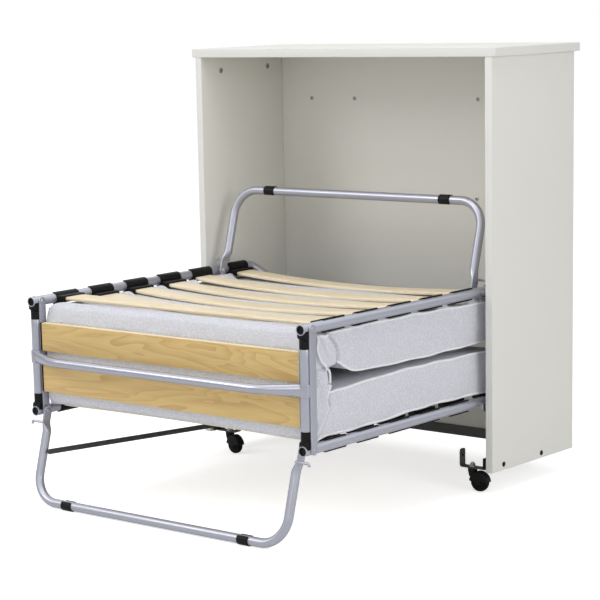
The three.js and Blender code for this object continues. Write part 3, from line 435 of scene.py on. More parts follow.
def block(low, high, round_off):
    """Box with rounded edges: the sphere's directions, pushed out to the box's corners."""
    low, high = np.minimum(low, high).astype(float), np.maximum(low, high).astype(float)
    half = (high - low) / 2 - round_off
    quarter = np.linspace(0, math.pi / 2, 5)
    around = np.concatenate([quarter + k * math.pi / 2 for k in range(4)])
    lift = np.concatenate([-quarter[::-1], quarter])[:, None]
    flat = round_off * np.cos(lift)
    x = half[0] * np.repeat([1, -1, -1, 1], 5) + flat * np.cos(around)
    y = half[1] * np.repeat([1, 1, -1, -1], 5) + flat * np.sin(around)
    z = half[2] * np.repeat([-1, 1], 5)[:, None] + round_off * np.sin(lift) + 0 * around
    return skin(np.stack([x, y, z], -1) + (low + high) / 2)


def plate(outline, start, end, place, edge=0.6):
    """Flat plate: an outline of (a, b) points carried from start to end, its rims rounded.
    place turns arrays a, b and the lift into points."""
    outline = np.array(outline, float)
    after = np.roll(outline, -1, 0)
    ahead = after - np.roll(outline, 1, 0)
    ahead /= np.linalg.norm(ahead, axis=1)[:, None]
    area = np.sum(outline[:, 0] * after[:, 1] - after[:, 0] * outline[:, 1])
    normal = np.stack([ahead[:, 1], -ahead[:, 0]], -1) * (1 if area > 0 else -1)
    turn = np.linspace(0, math.pi / 2, 4)
    rows = [(edge * (1 - math.sin(t)), start + edge * (1 - math.cos(t))) for t in turn]
    rows += [(edge * (1 - math.cos(t)), end - edge * (1 - math.sin(t))) for t in turn]
    return skin(np.array([place(*(outline - normal * inset).T, lift) for inset, lift in rows]))


def in_yz(a, b, lift):
    """Points of a plate that stands across X."""
    return np.stack([np.full_like(a, lift), a, b], -1)


def in_xz(a, b, lift):
    """Points of a plate that stands across Y."""
    return np.stack([a, np.full_like(a, lift), b], -1)


def arc(centre, radius, start, end, steps=16):
    """Points on a circle between two angles in degrees."""
    a = np.radians(np.linspace(start, end, steps))
    return [(centre[0] + radius * math.cos(t), centre[1] + radius * math.sin(t)) for t in a]


def capsule(one, two, radius, steps=14):
    """Outline of a bar with round ends between two points."""
    heading = math.degrees(math.atan2(two[1] - one[1], two[0] - one[0]))
    return (arc(two, radius, heading - 90, heading + 90, steps) +
            arc(one, radius, heading + 90, heading + 270, steps))


def rounded_section(wide, high, corner, steps=5):
    """Rectangle with rounded corners about its middle, as (a, b) points."""
    out = []
    for k, (sa, sb) in enumerate(((1, 1), (-1, 1), (-1, -1), (1, -1))):
        out += arc((sa * (wide / 2 - corner), sb * (high / 2 - corner)), corner,
                   90 * k, 90 * k + 90, steps)
    return np.array(out)


# ---------------------------------------------------------------- sizes shared with the solids
SIDES = {-1: "left", 1: "right"}
AXIS = 0.01                             # radius at which a turned profile closes
PANEL_IN, PANEL_OUT, PANEL_FOOT, PANEL_TOP = 412, 430, 50, 978
BACK_Y = 310                            # back panel's front face
STUD_Y, STUD_Z = 13.5, 198.5            # the whole bed swings about these studs
STRAP_Y = 17.8                          # front castor straps
LINK_REAR, LINK_FRONT = (STRAP_Y, 79), (-628, 119)
RAIL_X, TUBE, WALL = 388.0, 11.0, 1.5
HINGE_Y, POST_Y, RAIL_FRONT = -605.0, -614.0, -628.0
SHOE_ARC, SLEEVE_ARC = 25.7, 26.4       # shoe's top and sleeve's mouth, about the hinge
SLEEVE_END = 40.0                       # sleeve's far end from the rail's axis
SLAT_END = 375.2                        # slat's end from the middle of the bed
BOW_Z = 333
LEG_LENGTH, LEG_LEAN = 203.9, 16
# Each half of the bed: height of its rails' axis, way to the mattress, where its frame bends
# up and where its end bar lies, its slats' middles, how far the first, pressed slat lies off
# the axis and how far it bows, and the number of the slat that a folded leg lies beside.
LOWER = {"name": "lower", "z": 208.0, "towards": 1, "bend_y": 123.0, "bar_y": 135.0,
         "slats": (-520, -408, -296, -184, -72, 62), "pressed": (5, 4),
         "leg_beside": 1, "body": "lower_section"}
UPPER = {"name": "upper", "z": 458.0, "towards": -1, "bend_y": 139.0, "bar_y": 175.0,
         "slats": (-520, -406, -288, -171, -56, 80), "pressed": (0, 0.5),
         "leg_beside": 5, "body": "upper_section"}


# ---------------------------------------------------------------- cabinet
def make_cabinet():
    """Melamine boards with their softened edges, and the fittings seen in them."""
    boards, bands = {}, []
    for side, word in SIDES.items():
        boards[f"side_{word}"] = block((side * PANEL_IN, 0, PANEL_FOOT),
                                       (side * PANEL_OUT, 338, PANEL_TOP), 0.9)
        bands.append(block((side * 412.1, -0.35, 50.2), (side * 429.9, 0.5, 977.8), 0.3))
    boards["top"] = block((-440, -1, 978.3), (440, 346, 998.3), 1.2)
    boards["back"] = block((-411.7, BACK_Y, PANEL_FOOT), (411.7, 326, PANEL_TOP), 0.6)
    for name, board in boards.items():
        piece(f"cabinet_{name}_board", "cabinet", [board], LAMINATE, [f"cabinet_{name}"])
    bands.append(block((-439.9, -1.3, 978.5), (439.9, 0.0, 998.1), 0.4))
    piece("cabinet_edging", "cabinet", bands, EDGING)

    heads, recess_shades = [], []
    for x, z in ((-316, 865.4), (-181.4, 865.8), (184.5, 867), (180.7, 631.8)):
        heads.append(turned(dome(5.2, 1.6, -1), (x, BACK_Y, z), "y", 24))
        recess_shades.append(turned([(-1.75, AXIS), (-1.7, 1.9), (-1.2, 2.0), (-1.2, AXIS)],
                               (x, BACK_Y, z), "y", 12))
    for y, z in ((73.3, 943.9), (252.9, 947.5)):
        heads.append(turned(dome(7.2, 1.2, 1), (-PANEL_IN, y, z), "x", 28))
        recess_shades.append(turned([(1.35, AXIS), (1.3, 2.6), (0.9, 2.7), (0.9, AXIS)],
                               (-PANEL_IN, y, z), "x", 12))
        heads.append(turned(dome(7.2, 1.2, -1), (PANEL_IN, y, z), "x", 28))
    piece("panel_screws", "cabinet", heads, ZINC)
    # Dark steel discs on the screw heads: painted shade in their drive recesses.
    piece("panel_screw_recess_shades", "cabinet", recess_shades, DARK_STEEL)
    caps = [turned(dome(4.0, 0.8, -1), (x, BACK_Y, z), "y", 24)
            for x, z in ((-384.2, 727.9), (-317.9, 633.5), (-179.5, 633.8))]
    piece("panel_hole_caps", "cabinet", caps, EDGING)
    bolts = [turned(dome(6.0, 1.6, side), (side * PANEL_OUT, y, z), "x", 28)
             for side in SIDES for y, z in ((45, 64), (202, 62))]
    piece("runner_bolt_caps", "cabinet", bolts, BLACK_PLASTIC)


def strap_skins(side, y, inboard):
    """Castor strap: a flat band bent up at both ends, as a carried section. Its inboard tab
    ends in a plate with rounded corners."""
    centre = rounded_path([(side * 410.2, y, 90), (side * 410.2, y, 54.5),
                           (side * inboard, y, 54.5), (side * inboard, y, 84)], 4.5, 8)
    tangent = directions(centre)[0]
    inward = np.cross(tangent, (0, -1, 0))
    section = rounded_section(20, 3, 0.6, 4)
    rows = centre[:, None] + section[:, :1] * (0, 1, 0) + inward[:, None] * section[:, 1:]
    outline = ([(y + 10, 82)] + arc((y + 4, 88.7), 6, 0, 90, 8) +
               arc((y - 4, 88.7), 6, 90, 180, 8) + [(y - 10, 82)])
    ends = sorted((side * (inboard - 1.5), side * (inboard + 1.5)))
    return [skin(rows), plate(outline, *ends, in_yz, 0.6)]


def strap_hole(side, y, inboard):
    """Dark disc through the strap's tab, a hair proud of both faces: painted shade that stands
    in for the hole through the tab.
    """
    near, far = side * (inboard - 1.56), side * (inboard + 1.56)
    return turned([(near, AXIS), (near, 3.2), (far, 3.2), (far, AXIS)],
                  (0, y, LINK_REAR[1]), "x", 24)


def make_base():
    """Runners, pivot plates, castor straps and the cross rail under the cabinet."""
    for side, word in SIDES.items():
        stud = [(407.7, AXIS), (407.7, 4.5), (399.9, 4.5), (399.3, 3.9), (399.3, AXIS)]
        outline = [(20, 51), (60, 51)] + arc((STUD_Y, STUD_Z), 8, 0, 180, 14)
        skins = [block((side * 408.7, 10, 50), (side * 411.7, 306, 75), 0.7),
                 plate(outline, *sorted((side * 407.7, side * 411.7)), in_yz, 0.7),
                 turned([(side * x, r) for x, r in stud], (0, STUD_Y, STUD_Z))]
        hole_shades = []
        for y, inboard in ((STRAP_Y, 336.2), (295, 242.2)):
            skins += strap_skins(side, y, inboard)
            hole_shades.append(strap_hole(side, y, inboard))
        if side < 0:
            skins.append(turned([(-332.7, AXIS), (-332.7, 4.4), (-333.3, 5), (-344, 5),
                                 (-344.2, 3), (-348.4, 3), (-349, 2.4), (-349, AXIS)],
                                (0, *LINK_REAR)))
        piece(f"base_steel_{word}", "cabinet", skins, DARK_STEEL, [f"base_frame_{word}"])
        # Black discs in the straps' tabs: painted shade in their holes.
        piece(f"strap_hole_shades_{word}", "cabinet", hole_shades, BLACK_RUBBER)
        piece(f"runner_buffer_{word}", "cabinet",
              [block((side * 396, 10, 56.2), (side * 408.5, 26, 79), 1.2)], BLACK_PLASTIC)
    piece("base_rail_rear", "cabinet", [block((-411.7, 306.7, 50), (411.7, 309.7, 75), 0.7)],
          DARK_STEEL, ["base_cross_rail"])


CASTORS = {"front_left": (-364, STRAP_Y, -10), "front_right": (364, STRAP_Y, 0),
           "rear_left": (-270, 295, 100), "rear_right": (270, 295, 60)}
HUB = (20, 0, 22.5)         # wheel's centre from the stem's foot


def turn_about(skins, centre, degrees):
    """Turns skins about an upright line."""
    a = math.radians(degrees)
    matrix = np.array([[math.cos(a), math.sin(a), 0], [-math.sin(a), math.cos(a), 0],
                       [0, 0, 1]])
    return [(p @ matrix + np.array(centre, float), f) for p, f in skins]


def hood_skin():
    """Castor hood: a channel section swept over the top of the wheel."""
    half, foot, crown, wall = 11.0, 4.0, 25.0, 2.3
    inside, roof = half - wall, crown - wall + 0.6
    profile = [(half - 0.6, foot), (half, foot + 0.6), (half, crown - 5)]
    profile += [(half - 5 + 5 * math.cos(t), crown - 5 + 5 * math.sin(t))
                for t in np.linspace(0.2, math.pi / 2, 6)]
    profile += [(-h, r) for h, r in profile[::-1]]
    profile += [(-inside, foot), (-inside, roof - 2), (2 - inside, roof),
                (inside - 2, roof), (inside, roof - 2), (inside, foot)]
    across, reach = np.array(profile).T
    sweep = np.radians(np.linspace(4, 176, 44))[:, None]
    return skin(np.stack([HUB[0] + reach * np.cos(sweep), across + 0 * sweep,
                          HUB[2] + reach * np.sin(sweep)], -1))


def make_castors():
    """Hooded furniture castors, each fork on its swivel and each wheel on its axle."""
    stub = [(8.4, AXIS), (8.4, 6), (10.4, 6), (11, 5.4), (11, AXIS)]
    socket = [(34, AXIS), (34, 8.5), (46, 10.8), (51.6, 11), (52.4, 10.4), (52.4, AXIS)]
    stem = [(52, AXIS), (52, 4), (65, 4), (65.6, 3.4), (65.6, AXIS)]
    nut = [(56.4, AXIS), (56.4, 6.4), (56.9, 7), (61.8, 7), (62.3, 6.3), (62.3, AXIS)]
    washer = [(56.05, AXIS), (56.05, 8.6), (56.4, 8.8), (57.0, 8.6), (57.0, AXIS)]
    tread = [(8.1, AXIS), (8.1, 15), (7.6, 16), (8.0, 17.5), (7.4, 19.6), (5.4, 21.6),
             (2.5, 22.4), (0, 22.5)]
    tread = [(-x, r) for x, r in tread] + tread[-2::-1]
    for corner, (x, y, trail) in CASTORS.items():
        fork = [hood_skin(), turned([(-x, r) for x, r in stub[::-1]], HUB, "y", 28),
                turned(stub, HUB, "y", 28), turned(socket, (0, 0, 0), "z", 32)]
        upright = [turned(profile, (0, 0, 0), "z", sides)
                   for profile, sides in ((stem, 20), (nut, 6), (washer, 28))]
        wheel = [turned(tread, HUB, "y", 48)]
        for name, body, skins, material, node in (
                ("hood", "castor", fork, BLACK_PLASTIC, [f"castor_fork_{corner}"]),
                ("stem", "castor", upright, ZINC, ()),
                ("wheel", "wheel", wheel, BLACK_RUBBER, [f"castor_wheel_{corner}"])):
            piece(f"castor_{corner}_{name}", f"{body}_{corner}",
                  turn_about(skins, (x, y, 0), trail), material, node)


# ---------------------------------------------------------------- frames and slats
def shoe_skin(side, half):
    """Saddle on the rail: a block whose top is an arc about the hinge,
    z = sqrt(SHOE_ARC^2 - y^2), and whose foot follows the tube."""
    wide = TUBE - 0.4
    foot = arc((0, 0), 10.4, 168, 12, 11)
    rows = []
    for y in np.linspace(POST_Y - TUBE + 0.6, HINGE_Y + 6, 20):
        up = math.sqrt(SHOE_ARC ** 2 - (y - HINGE_Y) ** 2)
        loop = np.array([(wide, 2.2), (wide, up - 1.2), (wide - 1.2, up), (1.2 - wide, up),
                         (-wide, up - 1.2), (-wide, 2.2)] + foot)
        rows.append(np.stack([side * RAIL_X + loop[:, 0], np.full(len(loop), y),
                              half["z"] + half["towards"] * loop[:, 1]], -1))
    return skin(np.array(rows))


def make_frame(half):
    """Bent tube with its shoes and swing lugs, and the plugs in its open ends."""
    z, name = half["z"], half["name"]
    bar_z = z + half["towards"] * 42
    line = rounded_path([(-RAIL_X, RAIL_FRONT, z), (-RAIL_X, half["bend_y"], z),
                         (-343, half["bar_y"], bar_z), (343, half["bar_y"], bar_z),
                         (RAIL_X, half["bend_y"], z), (RAIL_X, RAIL_FRONT, z)], 28, 12)
    skins = [pipe(line, TUBE, 40, WALL + 0.3, 17.5, 0.5)]
    lug = arc((STUD_Y, STUD_Z), 11, 180, 360, 18) + [(STUD_Y + 11, z), (STUD_Y - 11, z)]
    cap = [(4.2, AXIS), (4.2, 6.6), (3.6, 7.6), (1.0, 8.3), (0.7, 8.6), (1.0, 9.0),
           (15.5, 9.0), (16, 8.6), (16, AXIS)]
    for side, word in SIDES.items():
        piece(f"{name}_hinge_shoe_{word}", half["body"], [shoe_skin(side, half)],
              BLACK_PLASTIC)
        if half is LOWER:
            skins.append(plate(lug, *sorted((side * 398.2, side * 403)), in_yz, 0.7))
        piece(f"{name}_tube_end_{word}", half["body"],
              [turned(cap, (side * RAIL_X, RAIL_FRONT, z), "y", 36)], BLACK_PLASTIC,
              [f"{name}_rail_plug_{word}"])
    piece(f"{name}_rail_tube", half["body"], skins, POWDER_COAT, [f"{name}_frame"])


def slat_skin(y, half, offset, bow):
    """Bowed strip: a rounded section carried across the bed along a parabola,
    z = offset + bow (1 - x^2 / SLAT_END^2) from the rails towards the mattress."""
    x = np.linspace(-SLAT_END, SLAT_END, 61)
    z = half["z"] + half["towards"] * (offset + bow * (1 - (x / SLAT_END) ** 2))
    section = rounded_section(58, 8, 3.1, 6)
    thin = np.where(np.abs(x) > 374, 0.94, 1.0)[:, None]
    return skin(np.stack([x[:, None] + 0 * section[:, 0], y + section[:, 0] + 0 * thin,
                          z[:, None] + section[:, 1] * thin], -1))


def holder_skins(side, y, half, offset, mouth):
    """Plastic clip round the inboard half of the rail, and the flat pocket on it that takes
    the slat's end: the pocket's far side is hollowed to the rail, and its mouth lies so far
    inboard of the rail's axis."""
    z, x = half["z"], side * RAIL_X
    middle = 180 if side > 0 else 0
    rim = (arc((x, z), 13.8, middle - 103, middle + 103, 40) +
           arc((x, z), 11.3, middle + 103, middle - 103, 40))
    section = rounded_section(72, 14, 3.0, 5)
    height = np.abs(offset + section[:, 1])
    seat = 11.9 - 4.5 * np.clip((height - 6) / 10, 0, 1) ** 2
    along = np.array([0, 0.5, 0.9, 1.0])[:, None]
    size = np.array([1, 1, 0.985, 0.94])[:, None]
    pocket = np.stack([x - side * (seat + (mouth - seat) * along),
                       y + section[:, 0] * size,
                       z + half["towards"] * (offset + section[:, 1] * size)], -1)
    return [plate(rim, y - 36, y + 36, in_xz, 0.5), skin(pocket)]


def make_slats(half):
    """Six birch slats, each with its pair of black holders. All are bowed but the first,
    which the mattress's foot presses almost straight. The pockets that a folded leg lies
    beside are short."""
    for number, y in enumerate(half["slats"], 1):
        name = f"{half['name']}_slat_{number}"
        offset, bow = half["pressed"] if number == 1 else (9.5, 16)
        piece(f"{name}_strip", half["body"], [slat_skin(y, half, offset, bow)], BIRCH,
              [name], sharp=50)
        mouth = 15.2 if number == half["leg_beside"] else 32
        piece(f"{name}_holders", half["body"],
              [part for side in SIDES for part in holder_skins(side, y, half, offset, mouth)],
              BLACK_PLASTIC)


# ---------------------------------------------------------------- middle section
def sleeve_skin(side, half):
    """Black sleeve between rail and post. Its mouth is hollowed to an arc about the hinge,
    z = sqrt(SLEEVE_ARC^2 - y^2), so that it clears the shoe as it turns. Its spigot goes
    into the post."""
    angle = np.linspace(0, TAU, 48, endpoint=False)
    rows = []
    for r, along in ((AXIS, 0), (3.5, 0), (7, 0), (10.2, 0), (11, 0.04), (11, 0.5),
                     (11, 0.97), (10.4, 1), (9.2, 1.005), (9.2, 1.325)):
        y = POST_Y + r * np.sin(angle)
        seat = np.sqrt(SLEEVE_ARC ** 2 - (y - HINGE_Y) ** 2)
        lift = seat + (SLEEVE_END - seat) * along if along <= 1 else SLEEVE_END * along
        rows.append(np.stack([side * RAIL_X + r * np.cos(angle), y,
                              half["z"] + half["towards"] * (lift + 0 * seat)], -1))
    return skin(np.array(rows))


def make_plank(label, low, high):
    """Plank with its pale rims, and a black block at its left end that is painted shade in the
    gap beside the post.
    """
    piece(f"{label}_plank_board", "middle_section",
          [block((-367.6, -617.5, low), (372.6, -602.5, high), 1.6)], MAPLE,
          [f"plank_{label}"])
    rims = [block((-367.5, -616.6, high - 0.5), (372.4, -603.4, high + 0.02), 0.25),
            block((-367.5, -616.6, low - 0.02), (372.4, -603.4, low + 0.5), 0.25),
            block((372.2, -616.8, low + 0.6), (373.4, -603.2, high - 0.6), 0.4)]
    piece(f"{label}_plank_edges", "middle_section", rims, MAPLE_EDGE)
    # Black block at the plank's left end: painted shade in the gap between plank and post.
    piece(f"{label}_plank_gap_shade", "middle_section",
          [block((-373.4, -616.5, low + 0.4), (-367.8, -603.5, high - 0.4), 0.8)],
          BLACK_PLASTIC)


def make_middle():
    """Posts with their hinge straps, sleeves and rivets, the planks and the cross bow."""
    for side, word in SIDES.items():
        x = side * RAIL_X
        line = np.array([(x, POST_Y, z) for z in np.linspace(248.3, 417.7, 9)])
        skins = [pipe(line, TUBE, 40, WALL, 14.5)]
        outline = capsule((HINGE_Y, LOWER["z"]), (HINGE_Y, UPPER["z"]), 10, 18)
        for way in SIDES:
            ends = sorted((x + way * 11.3, x + way * 14.3))
            skins.append(plate(outline, *ends, in_yz, 0.8))
        piece(f"post_{word}", "middle_section", skins, POWDER_COAT, [f"middle_post_{word}"])
        rivets = [turned(dome(3.4, 0.7, way, 14.3), (x, HINGE_Y, z))
                  for z in (275, 391) for way in SIDES]
        piece(f"post_rivets_{word}", "middle_section", rivets, POWDER_COAT)
        for half in (LOWER, UPPER):
            piece(f"post_sleeve_{half['name']}_{word}", "middle_section",
                  [sleeve_skin(side, half)], BLACK_PLASTIC,
                  [f"post_plug_{half['name']}_{word}"])
            make_hinge_bolt(side, half)
    make_plank("upper", 347, 411)
    make_plank("lower", 254, 318)
    make_bow()


def make_hinge_bolt(side, half):
    """Rivet through rail and straps with low domed heads."""
    x0, x1 = 367.7 if half is LOWER else 373.4, RAIL_X + 14.6
    bulge = [(2.2, AXIS)] + [(2.2 * math.cos(t), 5.4 * math.sin(t))
                             for t in np.linspace(0.2, 1.5, 7)] + [(0.1, 5.7)]
    profile = [(x0 - a, r) for a, r in bulge] + [(x0, 5.5), (x0, 3.7), (x1, 3.7), (x1, 5.5)]
    profile += [(x1 + a, r) for a, r in bulge[::-1]]
    piece(f"hinge_rivet_{half['name']}_{SIDES[side]}", half["body"],
          [turned([(side * a, r) for a, r in profile], (0, HINGE_Y, half["z"]))],
          BRIGHT_STEEL, [f"hinge_bolt_{half['name']}_{SIDES[side]}"])


def carried(path, outward, upward, wide, tall, angle, power=1.0):
    """Closed section carried along a path: at each point a superellipse of two half sizes,
    along the directions outward and upward. power 1 is an ellipse, and more is squarer."""
    c, s = np.cos(angle), np.sin(angle)
    c = np.sign(c) * np.abs(c) ** (1 / power)
    s = np.sign(s) * np.abs(s) ** (1 / power)
    return skin(path[:, None] + outward[:, None] * (wide[:, None] * c)[..., None] +
                np.array(upward) * (tall[:, None] * s)[..., None])


def make_bow():
    """Cross bow: a round tube that flattens towards its ends into half rings round the
    posts. Each ring has a seam slot in its middle."""
    line = rounded_path([(-384, -624, BOW_Z), (-296, -658, BOW_Z), (296, -658, BOW_Z),
                         (384, -624, BOW_Z)], 120, 16)
    upright = (0, 0, 1.0)
    flat = soft_step((np.abs(line[:, 0]) - 340) / 36)
    skins = [carried(line, np.cross(directions(line)[0], upright), upright, 10.5 - 7.2 * flat,
                     10.5 + 3.5 * flat, np.linspace(0, TAU, 44, endpoint=False))]
    degrees = np.linspace(176, 364, 40)[:, None]
    section = rounded_section(2.3, 28.0, 0.9, 5)
    slot = 0.9 * hump(degrees - 270, 5.0) * (section[:, 0] > 0)
    r, sweep = 12.5 + section[:, 0] - slot, np.radians(degrees)
    for side in SIDES:
        skins.append(skin(np.stack([side * RAIL_X + r * np.cos(sweep),
                                    POST_Y + r * np.sin(sweep),
                                    BOW_Z + section[:, 1] + 0 * sweep], -1)))
    piece("cross_bow_tube", "middle_section", skins, BRIGHT_STEEL, ["cross_bow"])
    # Black strips in the rings' seam slots: painted shade in the slots.
    slot_shades = [block((side * RAIL_X + 1.2, -627.3, BOW_Z - 10),
                   (side * RAIL_X + 3.2, -626.0, BOW_Z + 11), 0.5) for side in SIDES]
    piece("cross_bow_seam_shades", "middle_section", slot_shades, BLACK_PLASTIC)


# ---------------------------------------------------------------- legs and link
def leg_skin():
    """U-shaped leg hanging to -Z: a round tube whose two tops are pressed flat. The section
    changes from a circle to a flat bar with rounded shoulders, then narrows to a round top."""
    x = 363.0
    line = rounded_path([(-x, 0, -60), (-x, 0, -LEG_LENGTH), (x, 0, -LEG_LENGTH),
                         (x, 0, -60)], 62.0, 20)
    straight = np.linspace(11.7, -58, 34)
    lead = np.stack([np.full(34, -x), np.zeros(34), straight], -1)
    path = np.concatenate([lead, line, lead[::-1] * (-1, 1, 1)])
    z = path[:, 2]
    flat = soft_step((z + 50) / 28)
    top = np.sqrt(np.clip(144 - np.clip(z, 0, 12) ** 2, 0.4, 144))
    wide = 10 + 2.0 * flat
    wide = np.where(z > 0, np.minimum(wide, top), wide)
    forward = (0, 1.0, 0)
    shift = 7.0 * flat * np.sign(path[:, 0])
    return carried(path + shift[:, None] * (1.0, 0, 0), np.cross(directions(path)[0], forward),
                   forward, 10 - 8.0 * flat, wide, np.linspace(0, TAU, 36, endpoint=False),
                   1 + 0.9 * flat[:, None])


def stop_rod(side):
    """Round rod across the leg's top that meets the rail; its free end is bent down."""
    line = rounded_path([(side * 366, -11.65, -28.3), (side * 400.5, -11.65, -28.3),
                         (side * 403.0, -9.72, -35.0)], 3.2, 8)
    return pipe(line, 3.0, 20)


def clip_skin(side):
    """Split ring on the foot bar."""
    rim = arc((0, 0), 12.0, 125, 415, 44) + arc((0, 0), 10.15, 415, 125, 44)
    return plate(rim, side * 258 - 15, side * 258 + 15, in_yz, 0.6)


def lean_over(skins, y, z, degrees):
    """Turns skins about the X axis and carries them to (y, z)."""
    a = math.radians(degrees)
    matrix = np.array([[1, 0, 0], [0, math.cos(a), math.sin(a)],
                       [0, -math.sin(a), math.cos(a)]])
    return [(p @ matrix + np.array([0, y, z]), f) for p, f in skins]


def make_legs():
    """Front leg under the rails and upper leg above them, alike but turned over. Then the
    upper leg's bolts with their spacers, and the link bar with its bolt."""
    pin = (14, UPPER["z"])
    for name, pivot, turn in (("front_leg", (HINGE_Y, LOWER["z"]), -LEG_LEAN),
                              ("upper_leg", pin, 180 - LEG_LEAN)):
        tube = [leg_skin()] + [stop_rod(side) for side in SIDES]
        piece(f"{name}_tube", name, lean_over(tube, *pivot, turn), POWDER_COAT, [name])
        for side, word in SIDES.items():
            clip = lean_over([clip_skin(side)], 0, -LEG_LENGTH, LEG_LEAN)
            piece(f"{name}_clip_{word}", name, lean_over(clip, *pivot, turn), BLACK_PLASTIC,
                  [f"{name}_foot_{word}"])
    x0, x1 = 367.7, RAIL_X + 11.3
    head = [(3, AXIS), (2.6, 4.2), (1.2, 6.5), (0.1, 7), (0, 6.9), (0, 3.7)]
    profile = [(x0 - a, r) for a, r in head]
    profile += [(372.3, 3.7), (372.3, 6.6), (372.6, 7), (376.4, 7), (376.7, 6.6), (376.7, 3.7)]
    profile += [(x1 + a, r) for a, r in head[::-1]]
    for side, word in SIDES.items():
        piece(f"upper_leg_rivet_{word}", "upper_section",
              [turned([(side * a, r) for a, r in profile], (0, *pin))], ZINC,
              [f"upper_leg_bolt_{word}"])
    bar = [plate(capsule(LINK_FRONT, LINK_REAR, 6, 16), -348, -344.5, in_yz, 0.8)]
    piece("link_flat_bar", "link", bar, DARK_STEEL, ["link_bar"])
    bolt = [turned([(-376.3, AXIS), (-376.0, 3.4), (-375.2, 4.6), (-373.4, 5), (-373.3, 3),
                    (-348.6, 3), (-348.3, 2.7), (-348.3, AXIS)], (0, *LINK_FRONT))]
    piece("link_rivet", "front_leg", bolt, DARK_STEEL, ["link_bolt"])


# ---------------------------------------------------------------- mattress
# Stations of each half's padding, from its rear end to the middle of the roll at the foot:
# outer Y and Z (towards the slats), inner Y and Z, how far the outer face drops beside the
# bowed slats, and the radius of the outer corner.
LOWER_STATIONS = [
    (112, 243, 112, 312, 12, 7), (92, 239.6, 92, 317, 13, 5), (37, 239, 37, 319.5, 13, 4.5),
    (-100, 239, -100, 322, 10.5, 4.5), (-231, 239, -231, 323.5, 9.5, 4.5),
    (-330, 239, -330, 322.5, 13.5, 4.5), (-414, 239, -414, 320.5, 15.2, 4.5),
    (-470, 239.2, -474, 318, 15.2, 4.5), (-512, 239.4, -504, 316, 15.5, 5),
    (-541, 238, -522, 314.6, 14, 7), (-555, 233, -531, 314.4, 11, 7),
    (-566, 226.5, -536, 315, 7, 6), (-579, 223, -537, 318, 5, 5),
    (-592, 226.5, -535, 321.5, 2, 5), (-600, 238, -532, 325, 0, 6),
    (-602, 262, -530, 328, 0, 6), (-602, 295, -529, 330.5, 0, 6),
    (-602, 333, -528.5, 333, 0, 6)]
UPPER_STATIONS = [
    (148, 425.5, 148, 343, 2, 7), (122, 428, 122, 341.8, 4, 5),
    (37, 428.2, 37, 341.7, 5, 4.5), (-103, 428.2, -103, 341.6, 8.5, 4.5),
    (-231, 428.2, -231, 341.2, 12, 4.5), (-384, 428.3, -384, 344, 12.8, 4.5),
    (-440, 428.4, -443, 349, 12.6, 4.5), (-480, 428.6, -474, 359, 12, 5),
    (-510, 429, -492, 369.5, 11.5, 6), (-535, 430.5, -502, 376.5, 10, 9),
    (-553, 436, -509, 374, 4, 11), (-568, 441.3, -517, 368, 0, 8),
    (-583, 440.5, -526, 364.5, 0, 7), (-595, 431, -532, 361, 0, 6),
    (-600.5, 411, -533, 356, 0, 6), (-602, 385, -530, 348, 0, 6),
    (-602, 358, -528.5, 340, 0, 6), (-602, 333, -528.5, 333, 0, 6)]
# Lines on the sides, as (Z, Y): the front of the upper half's lobe, the rear of the roll.
LOBE_FRONT = [(333, -529), (350, -528), (364.6, -532), (376, -551), (388, -562),
              (411, -572), (433, -569), (441, -571)]
ROLL_REAR = [(226, -584), (241, -571), (262, -548), (282, -536), (300, -541), (314, -535),
             (321, -532), (333, -529)]


ACROSS, DOWN, CORNER = 60, 30, 6    # points across a face, down a side and round a corner
TIGHT = 6.0                         # radius of the inner corners
CORD_OUT = 1.6                      # how far the cords stand out of the sides


def soft_step(t):
    """0 below 0, 1 above 1, and 3 t^2 - 2 t^3 between."""
    t = np.clip(t, 0, 1)
    return t * t * (3 - 2 * t)


def smooth_line(points, count, crowd):
    """Points on a soft curve through control points (Catmull-Rom, as arrays), crowded
    towards its last end. Its length is taken over the first four columns."""
    p = np.array(points, float)
    p = np.vstack([2 * p[0] - p[1], p, 2 * p[-1] - p[-2]])
    n = len(p) - 3
    t = np.linspace(0, n - 1e-6, n * 40)
    k = t.astype(int)
    f = (t - k)[:, None]
    a, b, c, d = p[k], p[k + 1], p[k + 2], p[k + 3]
    line = 0.5 * ((2 * b) + (c - a) * f + (2 * a - 5 * b + 4 * c - d) * f ** 2 +
                  (3 * b - a - 3 * c + d) * f ** 3)
    step = np.linalg.norm(np.diff(line[:, :4], axis=0), axis=1)
    share = np.linspace(0, 1, len(step))
    reach = np.concatenate([[0], np.cumsum(step * (1 + crowd * soft_step(share * 2.2 - 0.8)))])
    even = np.linspace(0, reach[-1], count)
    return np.stack([np.interp(even, reach, line[:, i]) for i in range(line.shape[1])], -1)


def hump(distance, width):
    """Bell curve exp(-(distance / width)^2)."""
    return np.exp(-(distance / width) ** 2)


def fold(depth, distance, width, *fades):
    """Groove of depth along the line where distance is 0, or a swell where depth is
    negative: a bell curve across it, times a soft step for each fade."""
    return depth * hump(distance, width) * math.prod(soft_step(f) for f in fades)


